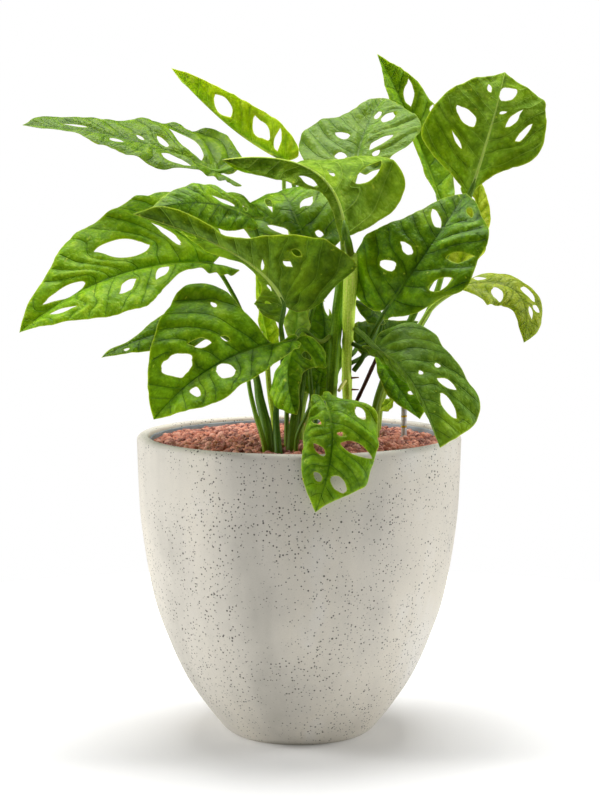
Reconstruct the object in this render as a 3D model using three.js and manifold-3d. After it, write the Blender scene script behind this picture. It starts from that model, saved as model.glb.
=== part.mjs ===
import * as THREE from "three";
import { mergeVertices } from "three/addons/utils/BufferGeometryUtils.js";
import Module from "manifold-3d";

// A potted monstera with pierced leaves, in millimetres, +Z up.
// The origin is the centre of the pot's underside, and -Y is the side that faces the viewer.

// Pot: radius and height of points on its outer wall, from the foot to the rim
const POT_HEIGHT = 316;
const POT_SIDES = 30;
const POT_WALL = 13;
const POT_FLOOR = 22;
const POT_LIP = 5;
const POT_BEVEL = 2;
const LIP_ANGLES = [30, 60, 90];
const POT_CURVE = [[73.5, 0], [80.5, 5], [88, 14], [101, 31], [120, 60], [138, 100], [154, 148],
  [167, 228], [170.7, 311]];
const POT_CURVE_STEPS = 8;
const WALL_LEVELS = [22, 50, 85, 130, 200, 311];

// Insert that hangs in the pot's taper
const LINER_WALL = 2;
const LINER_GAP = 0.5;
const LINER_FLOOR = 80;
const LINER_TOP = 312;

// Granules
const BED_TOP = 306;
const BED_MOUND = 5;
const PEBBLE_PITCH = 34.5;
const PEBBLE_RISE = 6;
const PEBBLE_VALLEY = 2;
const PEBBLE_LIFT = 2.5;
const PEBBLE_LOW = 0.4;
const PEBBLE_SHIFT = 0.17;
const PEBBLE_SHOULDER = { reach: 0.66, rise: 0.72 };
const PEBBLE_DRAW = [127.1, 311.7, 74.7, 43758.5453];
const HOLE_GAP = 0.4;
const HOLE_REACH = 20;

// Stems that come lower than STEM_FOOT stand in the granules and lean on by a share of their last stretch
const STEM_FOOT = 335;
const ROOTED_LENGTH = 45;
const ROOT_LEAN = 0.3;

// Water gauge
const GAUGE_PLACE = [112, 30];
const GAUGE_SIDES = 10;
const GAUGE_RADIUS = 2.9;
const GAUGE_WALL = 0.9;
const GAUGE_TOP = 352;
const GAUGE_BOTTOM = 240;
const GAUGE_GAP = 0.3;
const FLOAT = { level: 310, height: 4, bevel: 1, rod: 1 };
const CAP = { plug: 4, radius: 3.3, crown: 2.6, side: 2.5, height: 3.5 };
const COLLAR = { radius: 5.2, neck: 4.4, bottom: 304, step: 306, top: 309.5 };

// Leaves
const BLADE_THICKNESS = 0.9;
const WIDEST = 0.3;
const STATIONS = [0, 0.15, 0.3, 0.45, 0.6, 0.75, 0.9];
const OVATE = [0.8, 0.97, 1, 0.92, 0.74, 0.48, 0.19];
const MARGIN_WAVE = 1.5;
const WAVES_PER_LEAF = 2.5;
const WAVE_LAG = 1.9;
const RIB_STEPS = 6;
const OUTLINE_STEPS = 2;
const INNER_PITCH = 30;
const INNER_CLEARANCE = 12;
const HOLE_TAPER = 0.2;
const HOLE_SIDES = 6;
const LONG_HOLE = 20;
const LONG_HOLE_SIDES = 8;
const PETIOLE_SIDES = 5;
const PETIOLE_START = 0.08;
const PETIOLE_DROP = 0.7;
const STALK_SIDES = 7;
const STEM_STEPS = 1.5;

// The lobe behind a leaf's base, in shares of its length and of the half's first width
const LOBE = [[0, 0], [-0.65, 0.14], [-1, 0.42], [-0.6, 0.8]];

const MERGE_DISTANCE = 1e-4;
const TINY_AREA = 1e-6;
const CIRCLE_MARGIN = 1e-3;
const MOST_FLIPS = 2000;

// Each leaf in millimetres. rib: base, middle and tip of its midrib. left and right: the margin
// beside the widest station, which set the way each half points. wide: half widths of the two
// halves at the stations, or [] for the usual ovate form. curl: bend of each half in degrees,
// and twist: how far each half has turned at the tip. lobe: how far each half reaches behind the
// base. stem: the petiole's points, from below the blade down to the granules or a stalk, and
// thick: its radius, or several at even steps from the blade down.
// holes: [along the rib, out from it (left +, right -), length, width, slant in degrees].
const LEAVES = [
  { name: "leaf_far_left", rib: [[-86, -30, 592], [-177, -45, 624], [-278, -70, 638]],
    left: [-135, -75, 597], right: [-151, 20, 646], curl: [20, 20], twist: [0, 0], lobe: [32, 30],
    wide: [[20, 34, 46, 46, 35, 15, 8], [95, 80, 66, 47, 31, 22, 17]],
    stem: [[-61, -10, 597], [-37, 18, 600], [-19, 35, 593], [-6, 66, 577], [-3, 68, 544], [10, 46, 454],
      [28, 26, 407], [25, 14, 382], [15, 0, 355], [7, -24, 312]], thick: [2.2, 2.2, 2.2, 2.4, 3.1, 3.1],
    holes: [[37, -30, 56, 11, 48], [46, 22, 34, 13, 176], [62, -13, 16, 6, 43], [86, -9, 9, 4, 20],
      [111, 14, 15, 7, 171], [153, -8, 26, 4, 3]] },
  { name: "leaf_top_left", rib: [[-17, 60, 603], [-77, 45, 642], [-133, 20, 698]],
    left: [-37, 40, 657], right: [-40, 100, 613], curl: [30, 20], twist: [0, 0], lobe: [14, 14],
    wide: [[26, 34, 36, 31, 28, 21, 10], [20, 26, 28, 26, 22, 16, 8]],
    stem: [[-16, 58, 571], [-8, 45, 518], [7, 35, 455], [16, 28, 407], [12, 20, 376], [3, 6, 347],
      [0, -8, 310]], thick: [2.2, 2.2, 2.6, 4.4, 4.8],
    holes: [[93, 11, 28, 11, 18], [42, 17, 32, 11, 27], [17, 17, 25, 7, 62]] },
  { name: "leaf_big_left", rib: [[-88, -60, 498], [-183, -110, 488], [-274, -150, 435]],
    left: [-140, -130, 467], right: [-168, -40, 561], curl: [20, 30], twist: [0, 0], lobe: [26, 16],
    wide: [[20, 12, 33, 51, 49, 37, 16], [88, 101, 83, 69, 58, 34, 17]],
    stem: [[-70, -56, 471], [-55, -62, 436], [-51, -74, 376], [-45, -82, 349], [-35, -96, 315]],
    thick: [2.2, 2.2, 2.2, 2.6, 3.2],
    holes: [[91, -28, 50, 17, 8], [64, 15, 25, 6, 38], [107, 21, 27, 9, 25], [164, -7, 46, 11, 2],
      [177, 12, 28, 5, 156], [41, -34, 35, 8, 57]] },
  { name: "leaf_left_arch", rib: [[-49, -80, 546], [-91, -105, 560], [-144, -140, 556]],
    left: [-74, -100, 528], right: [-72, -50, 573], curl: [20, 50], twist: [0, 0], lobe: [14, 20],
    wide: [[14, 22, 24, 22, 17, 12, 5], [32, 42, 36, 30, 24, 18, 9]],
    stem: [[-38, -60, 512], [-24, -40, 460], [-16, -34, 413], [-13, -42, 362], [-13, -58, 308]],
    thick: [2.2, 2.2, 2.2, 2.8],
    holes: [[34, -10, 28, 6, 14], [9, -8, 10, 5, 45]] },
  { name: "leaf_centre_arch", rib: [[-15, -115, 460], [-61, -140, 510], [-161, -160, 551]],
    left: [3, -106, 519], right: [-44, -108, 476], curl: [30, 20], twist: [0, 0], lobe: [38, 36],
    wide: [[91, 76, 51, 28, 14, 18, 16], [38, 20, 12, 12, 22, 15, 4]],
    stem: [[-18, -108, 440], [-17, -66, 408], [-18, -58, 381], [-23, -70, 354], [-23, -88, 331],
      [-21, -102, 309]], thick: [2.2, 2.2, 2.2, 4, 4.3],
    holes: [[30, -8, 15, 5, 160], [2, -20, 8, 5, 24], [138, -8, 14, 6, 165], [35, 30, 13, 6, 165],
      [36, 44, 13, 6, 158], [60, 9, 12, 4, 70]] },
  { name: "leaf_inner", rib: [[7, -60, 518], [-16, -5, 567], [-28, 50, 553]],
    left: [-50, -30, 536], right: [47, -50, 537], curl: [15, 15], twist: [0, 0], lobe: [10, 10],
    wide: [[40, 50, 54, 52, 46, 36, 20], [38, 46, 50, 48, 44, 36, 22]],
    stem: [[19, -44, 468], [12, -42, 444], [8, -47, 424], [3, -53, 378], [-4, -68, 339], [-8, -84, 308]],
    thick: [2.2, 2.2, 3.2, 6, 6.4],
    holes: [[58, 19, 32, 7, 175], [22, 21, 26, 7, 46], [42, -17, 22, 8, 52], [6, -17, 8, 4, 111]] },
  { name: "leaf_crown", rib: [[46, -90, 528], [13, -70, 592], [-78, -60, 603]],
    left: [112, -60, 571], right: [1, -80, 571], curl: [30, 20], twist: [110, 0], lobe: [4, 12],
    wide: [[5, 68, 75, 52, 48, 40, 20], [6, 8, 10, 18, 22, 21, 12]],
    stem: [[50, -78, 517], [51.6, -73.3, 508.6]], thick: 4,
    holes: [[79, -10, 28, 4, 6], [69, 18, 11, 5, 32], [50, 45, 36, 6, 82]] },
  { name: "leaf_top_mid", rib: [[60, 20, 595], [70, 60, 633], [91, 100, 669]],
    left: [1, 50, 621], right: [127, 50, 641], curl: [25, 25], twist: [0, 0], lobe: [14, 14],
    wide: [[52, 62, 66, 58, 36, 21, 12], [36, 46, 57, 60, 60, 53, 27]],
    stem: [[51, 0, 561], [46, -20, 536], [45, -30, 521], [46, -32, 505]], thick: 2.8,
    holes: [[44, 21, 16, 7, 77], [84, -7, 11, 6, 17], [81, -21, 19, 12, 27], [34, -24, 27, 12, 51],
      [13, 18, 13, 6, 82], [16, -21, 10, 6, 43]] },
  { name: "leaf_top_spear", rib: [[153, 90, 557], [122, 125, 644], [85, 120, 717]],
    left: [121, 100, 610], right: [178, 125, 622], curl: [10, 20], twist: [0, 0], lobe: [6, 10],
    wide: [[3, 7, 10, 14, 20, 17, 8], [16, 24, 34, 36, 29, 23, 9]],
    stem: [[159, 80, 517], [152, 68, 474], [139, 62, 440], [115, 56, 403], [93, 50, 362], [84, 44, 331],
      [80, 38, 309]], thick: [2.4, 3.2, 3.4, 3.2, 3],
    holes: [[121, -12, 28, 9, 19], [96, -28, 8, 3, 47]] },
  { name: "leaf_top_right", rib: [[179, -10, 573], [198, -20, 638], [213, 0, 693]],
    left: [244, -10, 598], right: [130, -10, 618], curl: [20, 30], twist: [0, 0], lobe: [3, 8],
    wide: [[4, 22, 50, 59, 57, 52, 44], [15, 52, 69, 66, 60, 50, 30]],
    stem: [[171, 12, 549], [154, 14, 503], [132, 6, 467], [118, 0, 438], [102, -6, 407], [86, -14, 369],
      [79, -18, 345], [77, -30, 313]], thick: [2.6, 3.6, 4, 3.8, 3.4, 3, 3],
    holes: [[68, -29, 26, 13, 50], [40, -31, 22, 4, 43], [107, -12, 11, 4, 25], [105, 10, 25, 12, 30],
      [82, 9, 9, 3, 53], [80, 22, 27, 8, 27], [68, 36, 27, 6, 27]] },
  { name: "leaf_right_dark", rib: [[89, -70, 453], [128, -85, 511], [171, -40, 569]],
    left: [63, -60, 519], right: [148, -110, 465], curl: [25, 25], twist: [0, 0], lobe: [15, 10],
    wide: [[46, 62, 64, 58, 45, 31, 16], [12, 31, 44, 58, 51, 48, 24]],
    stem: [[80, -56, 435], [72, -44, 416], [64, -36, 397], [56.6, -33, 386]], thick: 2.6,
    holes: [[40, 25, 18, 13, 106], [70, 19, 16, 11, 73], [116, 11, 22, 8, 50], [89, -34, 27, 10, 58],
      [59, -34, 24, 10, 40], [135, -17, 12, 4, 134]] },
  { name: "leaf_right_back", rib: [[177, 90, 492], [190, 100, 532], [197, 110, 580]],
    left: [158, 90, 532], right: [211, 90, 545], curl: [15, 15], twist: [0, 0], lobe: [14, 14],
    wide: [[20, 28, 32, 30, 24, 16, 8], [18, 22, 23, 22, 20, 16, 9]],
    stem: [[166, 86, 471], [143, 84, 441], [121, 84, 401], [103, 84, 370], [91, 80, 343], [87, 74, 317]],
    thick: [2.2, 2.6, 2.6],
    holes: [[73, 7, 9, 5, 56]] },
  { name: "leaf_right_low", rib: [[172, 20, 470], [227, 0, 466], [234, -20, 414]],
    left: [214, 40, 486], right: [198, -10, 456], curl: [20, 20], twist: [0, 0], lobe: [8, 8],
    wide: [[5, 20, 22, 20, 23, 23, 15], [8, 22, 34, 32, 26, 15, 8]],
    stem: [[156, 30, 459], [140, 28, 446], [122, 26, 417], [103, 24, 386], [89, 22, 360], [83, 18, 337],
      [82, 14, 316]], thick: [2.2, 3, 3.2],
    holes: [[42, -17, 28, 8, 24], [66, 12, 20, 9, 20], [87, 6, 13, 4, 8], [83, 15, 9, 5, 53],
      [14, 9, 12, 4, 165]] },
  { name: "leaf_right_fold", rib: [[77, -90, 414], [114, -125, 382], [139, -150, 321]],
    left: [144, -60, 434], right: [102, -60, 387], curl: [35, 20], twist: [0, 0], lobe: [12, 23],
    wide: [[56, 59, 56, 52, 54, 59, 42], [22, 28, 32, 30, 24, 16, 7]],
    stem: [[66, -66, 425], [58.1, -48.2, 430.3]], thick: 2.6,
    holes: [[59, 32, 6, 5, 65], [79, 30, 18, 5, 40], [98, 22, 26, 7, 15], [58, 13, 5, 4, 47]] },
  { name: "leaf_right_small", rib: [[79, -60, 404], [100, -75, 375], [122, -95, 343]],
    left: [116, -60, 387], right: [82, -80, 373], curl: [20, 20], twist: [0, 0], lobe: [8, 8],
    wide: [[4, 11, 20, 24, 25, 22, 13], [3, 7, 12, 15, 15, 12, 5]],
    stem: [[69, -52, 409], [55.1, -44.2, 414.9]], thick: 2.2,
    holes: [[55, 7, 5, 3, 38]] },
  { name: "leaf_low_left", rib: [[-6, -100, 423], [-81, -130, 402], [-142, -165, 351]],
    left: [-43, -150, 389], right: [-74, -90, 476], curl: [15, 40], twist: [0, 0], lobe: [6, 6],
    wide: [[16, 29, 36, 41, 43, 36, 18], [6, 4, 78, 88, 70, 51, 24]],
    stem: [[1, -88, 432], [8, -68, 429], [16, -62, 421], [24, -56, 418], [31.3, -49.2, 423.1]], thick: 2.2,
    holes: [[119, -22, 30, 22, 38], [90, -27, 22, 9, 29], [84, 14, 20, 19, 145], [124, 14, 14, 9, 78],
      [60, -58, 8, 4, 84], [66, -19, 10, 4, 45]] },
  { name: "leaf_low_left_back", rib: [[-95, -20, 431], [-148, -40, 424], [-201, -70, 403]],
    left: [-132, -60, 406], right: [-135, 0, 452], curl: [20, 20], twist: [0, 0], lobe: [14, 14],
    wide: [[21, 27, 30, 27, 22, 15, 7], [26, 30, 25, 18, 9, 3, 4]],
    stem: [[-66, -22, 412], [-46, -42, 385], [-40, -60, 358], [-34, -72, 334], [-31, -82, 312]],
    thick: [2.2, 3, 6, 6],
    holes: [[97, 6, 6, 3, 172]] },
  { name: "leaf_front", rib: [[25, -150, 367], [32, -180, 325], [16, -183, 262]],
    left: [76, -170, 331], right: [6, -170, 339], curl: [30, 25], twist: [0, 0], lobe: [14, 14],
    wide: [[12, 42, 47, 45, 43, 37, 11], [13, 20, 27, 28, 28, 25, 14]],
    stem: [[22, -126, 368], [14, -120, 362], [5, -114, 344], [-2, -110, 327], [-3, -107, 310]], thick: 1.9,
    holes: [[45, 9, 9, 4, 64], [59, 24, 29, 9, 74], [62, -12, 16, 7, 141], [89, -9, 11, 6, 127],
      [91, 13, 20, 9, 60], [23, 30, 14, 7, 37], [28, -14, 12, 4, 142]] },
  { name: "leaf_centre_fold", rib: [[-2, -82, 424], [-11, -98, 388], [-2, -102, 348]],
    left: [19, -80, 399], right: [-27, -80, 383], curl: [20, 20], twist: [0, 0], lobe: [10, 6],
    wide: [[40, 42, 28, 15, 12, 9, 6], [4, 5, 13, 26, 36, 32, 20]],
    stem: [[7, -70, 411], [12, -64, 374], [13, -68, 344], [12, -84, 312]], thick: 2.2,
    holes: [[13, 17, 10, 7, 70]] },
  { name: "leaf_narrow", rib: [[-33, 20, 408], [-40, 20, 450], [-47, 15, 494]],
    left: [-45, 5, 448], right: [-22, 32, 446], curl: [20, 20], twist: [0, 0], lobe: [6, 6],
    wide: [[8, 12, 13, 13, 12, 10, 6], [14, 16, 15, 12, 10, 8, 4]],
    stem: [[-33, 4, 383], [-31, -4, 361], [-27, -16, 337], [-23, -34, 307]], thick: [2.2, 3.1, 3.1, 3.1],
    holes: [] },
  { name: "leaf_pale", rib: [[-3, -60, 426], [-2, -60, 444], [-1, -55, 462]],
    left: [-13, -60, 438], right: [11, -60, 438], curl: [20, 20], twist: [0, 0], lobe: [8, 8],
    wide: [[10, 12, 13, 12, 10, 8, 4], [10, 13, 14, 12, 10, 7, 4]],
    stem: [[-4, -54, 407], [-2, -42, 385], [-1, -41, 356], [-2, -43, 306]], thick: 2.2,
    holes: [] },
  { name: "leaf_centre_back", rib: [[20, -20, 370], [27, -10, 416], [20, 10, 467]],
    left: [1, -10, 411], right: [48, 0, 410], curl: [20, 20], twist: [0, 0], lobe: [14, 14],
    wide: [[], []],
    stem: [[18, -30, 343], [16, -42, 312]], thick: 2.2,
    holes: [[84, -5, 14, 4, 170]] },
  { name: "leaf_right_behind", rib: [[62, -10, 411], [93, 8, 421], [127, 34, 432]],
    left: [77, 8, 438], right: [86, -4, 402], curl: [15, 15], twist: [0, 0], lobe: [4, 4],
    wide: [[20, 22, 21, 17, 13, 8, 4], [13, 16, 17, 15, 12, 8, 4]],
    stem: [[59, -18, 406], [53.4, -31.6, 401.6]], thick: 2.2,
    holes: [] },
  { name: "leaf_right_shade", rib: [[87, -20, 439], [73, -28, 450], [56, -24, 459]],
    left: [69, -30, 437], right: [76, -10, 458], curl: [15, 15], twist: [0, 0], lobe: [6, 6],
    wide: [[6, 10, 13, 12, 10, 7, 3], [6, 10, 12, 12, 9, 6, 3]],
    stem: [[84, -16, 427], [73, -17, 404], [52.9, -29, 392.7]], thick: 2.2,
    holes: [] },
  { name: "leaf_small_pale", rib: [[87, 30, 338], [95, 30, 345], [102, 30, 352]],
    left: [91, 34, 348], right: [98, 24, 339], curl: [15, 15], twist: [0, 0], lobe: [3, 3],
    wide: [[3, 5, 6, 6, 5, 3, 2], [3, 6, 8, 8, 6, 4, 2]],
    stem: [[85, 30, 328], [83, 22, 315]], thick: 1.6,
    holes: [] },
];

const LEAF_COLOR = 0x4f7f24;
const SPECIAL_COLORS = {
  leaf_top_mid: 0x8fae8a,
  leaf_right_dark: 0x3c6a1c,
  leaf_centre_arch: 0x55722e,
  leaf_narrow: 0xa6c432,
  leaf_pale: 0xa9c46a,
  leaf_small_pale: 0x9dbb4a,
};

// Each stalk as a path from its top down to the granules, with short shoots fused to it
const STALKS = [
  { name: "stalk_right", thick: [7, 7.3, 6.3, 5.5, 5.2, 4.9, 4.9, 4.9], color: 0x8fae3c,
    path: [[52, -72, 508], [52, -61, 480], [51, -54, 455], [50, -42, 419], [49, -34, 395], [50, -28, 355],
      [50, -20, 312]],
    shoots: [{ path: [[52, -32, 378], [62, -34, 379]], thick: 1.2 },
      { path: [[52, -30, 366], [62, -32, 366]], thick: 1.2 },
      { path: [[48, -34, 376], [41, -57, 368]], thick: 2 }] },
  { name: "stalk_left", thick: [6.2, 6.3, 6.3, 6.1, 5.6, 5.2, 5, 5], color: 0x6f9a2c,
    path: [[46, -32, 504], [44, -30, 480], [41, -35, 453], [37, -46, 419], [35, -50, 395], [33, -48, 357],
      [33, -45, 313]],
    shoots: [] },
  { name: "stalk_dead", thick: 2, color: 0x2c1a12,
    path: [[82, 14, 395], [70, 14, 368], [57, 16, 338], [52, 16, 312]],
    shoots: [] },
];

const wasm = await Module();
wasm.setup();

const radians = THREE.MathUtils.degToRad;
const vector = ([x, y, z]) => new THREE.Vector3(x, y, z);
const flat = ([x, y]) => new THREE.Vector2(x, y);

// Solids

function toSolid(geometry) {
  const bare = geometry.index ? geometry.toNonIndexed() : geometry.clone();
  bare.deleteAttribute("normal");
  bare.deleteAttribute("uv");
  const merged = mergeVertices(bare, MERGE_DISTANCE);
  return new wasm.Manifold(new wasm.Mesh({
    numProp: 3,
    vertProperties: new Float32Array(merged.attributes.position.array),
    triVerts: new Uint32Array(merged.index.array),
  }));
}

function toGeometry(solid) {
  const mesh = solid.getMesh();
  const geometry = new THREE.BufferGeometry();
  geometry.setAttribute("position", new THREE.BufferAttribute(new Float32Array(mesh.vertProperties), 3));
  geometry.setIndex(new THREE.BufferAttribute(new Uint32Array(mesh.triVerts), 1));
  geometry.computeVertexNormals();
  return geometry;
}

// The radius at a share of a tube's length, where thick is one radius or several at even steps
function radiusAlong(thick, share) {
  const radii = [thick].flat();
  const place = share * (radii.length - 1);
  const before = Math.floor(place);
  const after = Math.min(before + 1, radii.length - 1);
  return THREE.MathUtils.lerp(radii[before], radii[after], place - before);
}

// A closed tube along a smooth path
function tube({ points, thick, sides }) {
  const path = new THREE.CatmullRomCurve3(points);
  const steps = Math.round(STEM_STEPS * (points.length - 1));
  const { normals, binormals } = path.computeFrenetFrames(steps, false);
  const places = path.getSpacedPoints(steps);
  const corners = places.flatMap((place, i) => Array.from({ length: sides }, (_, k) => {
    const angle = (2 * Math.PI * k) / sides;
    const radius = radiusAlong(thick, i / steps);
    return place.clone().addScaledVector(normals[i], radius * Math.cos(angle))
      .addScaledVector(binormals[i], radius * Math.sin(angle));
  }));
  const start = corners.length;
  const end = start + 1;
  const triangles = [];
  for (let k = 0; k < sides; k += 1) {
    const next = (k + 1) % sides;
    triangles.push(start, next, k, end, steps * sides + k, steps * sides + next);
    for (let ring = 0; ring < steps * sides; ring += sides) {
      const [a, b] = [ring + k, ring + next];
      triangles.push(a, b, b + sides, a, b + sides, a + sides);
    }
  }
  const geometry = new THREE.BufferGeometry().setFromPoints([...corners, places[0], places[steps]]);
  geometry.setIndex(triangles);
  return toSolid(geometry);
}

// A turned body round the Z axis, from a profile of [radius, height] pairs
function turned(profile, sides) {
  return new THREE.LatheGeometry(profile.map(flat), sides).rotateX(Math.PI / 2);
}

// The neighbours of every edge: the face on its left and that face's third corner
function edgeMap(faces) {
  const edges = new Map();
  faces.forEach((face, f) => {
    for (let i = 0; i < 3; i += 1) edges.set(`${face[i]},${face[(i + 1) % 3]}`, [f, face[(i + 2) % 3]]);
  });
  return edges;
}

// One solid between two copies of a sheet of triangles, closed by walls along its free edges
function sheetSolid(top, bottom, faces) {
  const count = top.length;
  const triangles = faces.flatMap(([a, b, c]) => [a, b, c, a + count, c + count, b + count]);
  const edges = edgeMap(faces);
  for (const key of edges.keys()) {
    const [a, b] = key.split(",").map(Number);
    if (!edges.has(`${b},${a}`)) triangles.push(b, a, a + count, b, a + count, b + count);
  }
  const geometry = new THREE.BufferGeometry().setFromPoints([...top, ...bottom]);
  geometry.setIndex(triangles);
  return toSolid(geometry);
}

// A list of places in which equal ones share one number
function placeList() {
  const places = [];
  const seen = new Map();
  const add = (x, y, make) => {
    const key = `${x.toFixed(3)},${y.toFixed(3)}`;
    if (!seen.has(key)) {
      seen.set(key, places.length);
      places.push(make());
    }
    return seen.get(key);
  };
  return { places, add };
}

// A leaf's curved surface

function leafSurface(leaf) {
  const [base, middle, tip] = leaf.rib.map(vector);
  const control = middle.clone().multiplyScalar(2).addScaledVector(base, -0.5).addScaledVector(tip, -0.5);
  const length = base.distanceTo(middle) + middle.distanceTo(tip);
  const curve = new THREE.QuadraticBezierCurve3(base, control, tip);
  const start = control.clone().sub(base);
  const finish = tip.clone().sub(control);

  const tangent = (u) => {
    const t = THREE.MathUtils.clamp(u, 0, 1);
    return start.clone().multiplyScalar(1 - t).addScaledVector(finish, t).normalize();
  };
  const rib = (u) => (u < 0 ? base.clone().addScaledVector(start, 2 * u) : curve.getPoint(u));

  const reference = tangent(WIDEST);
  const halves = [leaf.left, leaf.right].map((margin, k) => {
    const out = vector(margin).sub(rib(WIDEST));
    out.addScaledVector(reference, -out.dot(reference));
    const width = out.length();
    const wide = leaf.wide[k].length ? leaf.wide[k] : OVATE.map((share) => share * width);
    return { direction: out.normalize(), width, wide, curl: radians(leaf.curl[k]), lobe: leaf.lobe[k] };
  });

  // The point at u along the rib and r millimetres out from it, on half 0 (left) or 1 (right)
  const at = (u, half, r) => {
    const { direction, width, curl } = halves[half];
    const along = tangent(u);
    const swing = new THREE.Quaternion().setFromUnitVectors(reference, along);
    const out = direction.clone().applyQuaternion(swing);
    const up = half === 0 ? along.clone().cross(out) : out.clone().cross(along);
    const turn = (radians(leaf.twist[half]) * Math.max(u - WIDEST, 0)) / (1 - WIDEST);
    const side = out.clone().multiplyScalar(Math.cos(turn)).addScaledVector(up, Math.sin(turn));
    up.multiplyScalar(Math.cos(turn)).addScaledVector(out, -Math.sin(turn));
    const bend = curl / width;
    const reach = (Math.sin(curl / 2) - Math.sin(curl / 2 - bend * r)) / bend;
    const arch = (Math.cos(curl / 2 - bend * r) - Math.cos(curl / 2)) / bend;
    const phase = 2 * Math.PI * WAVES_PER_LEAF * u + half * WAVE_LAG;
    const wave = MARGIN_WAVE * (r / width) ** 2 * Math.sin(phase);
    return rib(u).addScaledVector(side, reach).addScaledVector(up, arch + wave);
  };
  return { length, rib, tangent, halves, at };
}

// The flat outline of half a leaf as [along, out] pairs, from the base round the lobe to the tip
function halfOutline(surface, half) {
  const { wide, lobe } = surface.halves[half];
  const back = lobe / surface.length;
  const behind = LOBE.map(([along, out]) => [along * back, out * wide[0]]);
  const knots = [...behind, ...STATIONS.map((station, i) => [station, wide[i]]), [1, 0]];
  const curve = new THREE.SplineCurve(knots.map(flat));
  return curve.getPoints(OUTLINE_STEPS * (knots.length - 1))
    .map(({ x, y }) => [Math.min(x, 1) * surface.length, Math.max(y, 0)]);
}

// An oval hole in half a leaf, a little narrower towards the far end
function holeOutline([along, out, length, width, slant]) {
  const angle = radians(slant);
  const sides = length > LONG_HOLE ? LONG_HOLE_SIDES : HOLE_SIDES;
  const points = [];
  for (let i = 0; i < sides; i += 1) {
    const turn = (2 * Math.PI * i) / sides;
    const x = (length / 2) * Math.cos(turn);
    const y = (width / 2) * Math.sin(turn) * (1 - HOLE_TAPER * Math.cos(turn));
    points.push([along + x * Math.cos(angle) - y * Math.sin(angle),
      Math.abs(out) + x * Math.sin(angle) + y * Math.cos(angle)]);
  }
  return points;
}

// Flat triangulation with even triangles

function signedArea(a, b, c) {
  return (b.x - a.x) * (c.y - a.y) - (b.y - a.y) * (c.x - a.x);
}

function insideCircle(a, b, c, d) {
  const rows = [a, b, c].map((p) => [p.x - d.x, p.y - d.y, (p.x - d.x) ** 2 + (p.y - d.y) ** 2]);
  const [[ax, ay, az], [bx, by, bz], [cx, cy, cz]] = rows;
  return ax * (by * cz - bz * cy) - ay * (bx * cz - bz * cx) + az * (bx * cy - by * cx) > CIRCLE_MARGIN;
}

function insideOutline(point, outline) {
  let inside = false;
  outline.forEach((a, i) => {
    const b = outline[(i + 1) % outline.length];
    const crosses = (a.y > point.y) !== (b.y > point.y)
      && point.x < ((b.x - a.x) * (point.y - a.y)) / (b.y - a.y) + a.x;
    if (crosses) inside = !inside;
  });
  return inside;
}

function distanceToOutline(point, outline) {
  const place = new THREE.Vector3(point.x, point.y, 0);
  const corners = outline.map(({ x, y }) => new THREE.Vector3(x, y, 0));
  const nearest = new THREE.Vector3();
  return Math.min(...corners.map((corner, i) => {
    const edge = new THREE.Line3(corner, corners[(i + 1) % corners.length]);
    return edge.closestPointToPoint(place, true, nearest).distanceTo(place);
  }));
}

// Points of a hexagonal lattice that lie well inside the outline and clear of its holes
function innerPoints(outline, holes) {
  const box = new THREE.Box2().setFromPoints(outline);
  const rowStep = INNER_PITCH * Math.sin(Math.PI / 3);
  const points = [];
  let shift = 0;
  for (let y = box.min.y + rowStep / 2; y < box.max.y; y += rowStep) {
    for (let x = box.min.x + shift; x < box.max.x; x += INNER_PITCH) {
      const point = new THREE.Vector2(x, y);
      const clear = [outline, ...holes].every((loop) => distanceToOutline(point, loop) > INNER_CLEARANCE);
      const onBlade = insideOutline(point, outline) && !holes.some((hole) => insideOutline(point, hole));
      if (clear && onBlade) points.push(point);
    }
    shift = INNER_PITCH / 2 - shift;
  }
  return points;
}

// Swaps the diagonal of one pair of triangles that would be better the other way
function flipOnce(points, faces) {
  const edges = edgeMap(faces);
  for (const [key, [f, c]] of edges) {
    const [a, b] = key.split(",").map(Number);
    const [g, d] = edges.get(`${b},${a}`) ?? [];
    const convex = d !== undefined && signedArea(points[a], points[d], points[c]) > TINY_AREA
      && signedArea(points[d], points[b], points[c]) > TINY_AREA;
    if (convex && insideCircle(points[a], points[b], points[c], points[d])) {
      faces[f] = [a, d, c];
      faces[g] = [d, b, c];
      return true;
    }
  }
  return false;
}

function triangulate(outline, holes) {
  const extra = innerPoints(outline, holes);
  const points = [...outline, ...holes.flat(), ...extra];
  const faces = THREE.ShapeUtils.triangulateShape(outline, holes).map(([a, b, c]) => (
    signedArea(points[a], points[b], points[c]) > 0 ? [a, b, c] : [a, c, b]));
  extra.forEach((point, i) => {
    const n = points.length - extra.length + i;
    const f = faces.findIndex((face) => face.every((corner, k) => (
      signedArea(points[corner], points[face[(k + 1) % 3]], point) > 0)));
    if (f < 0) return;
    const [a, b, c] = faces[f];
    faces.splice(f, 1, [a, b, n], [b, c, n], [c, a, n]);
  });
  let flips = 0;
  while (flips < MOST_FLIPS && flipOnce(points, faces)) flips += 1;
  return { points, faces };
}

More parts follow.
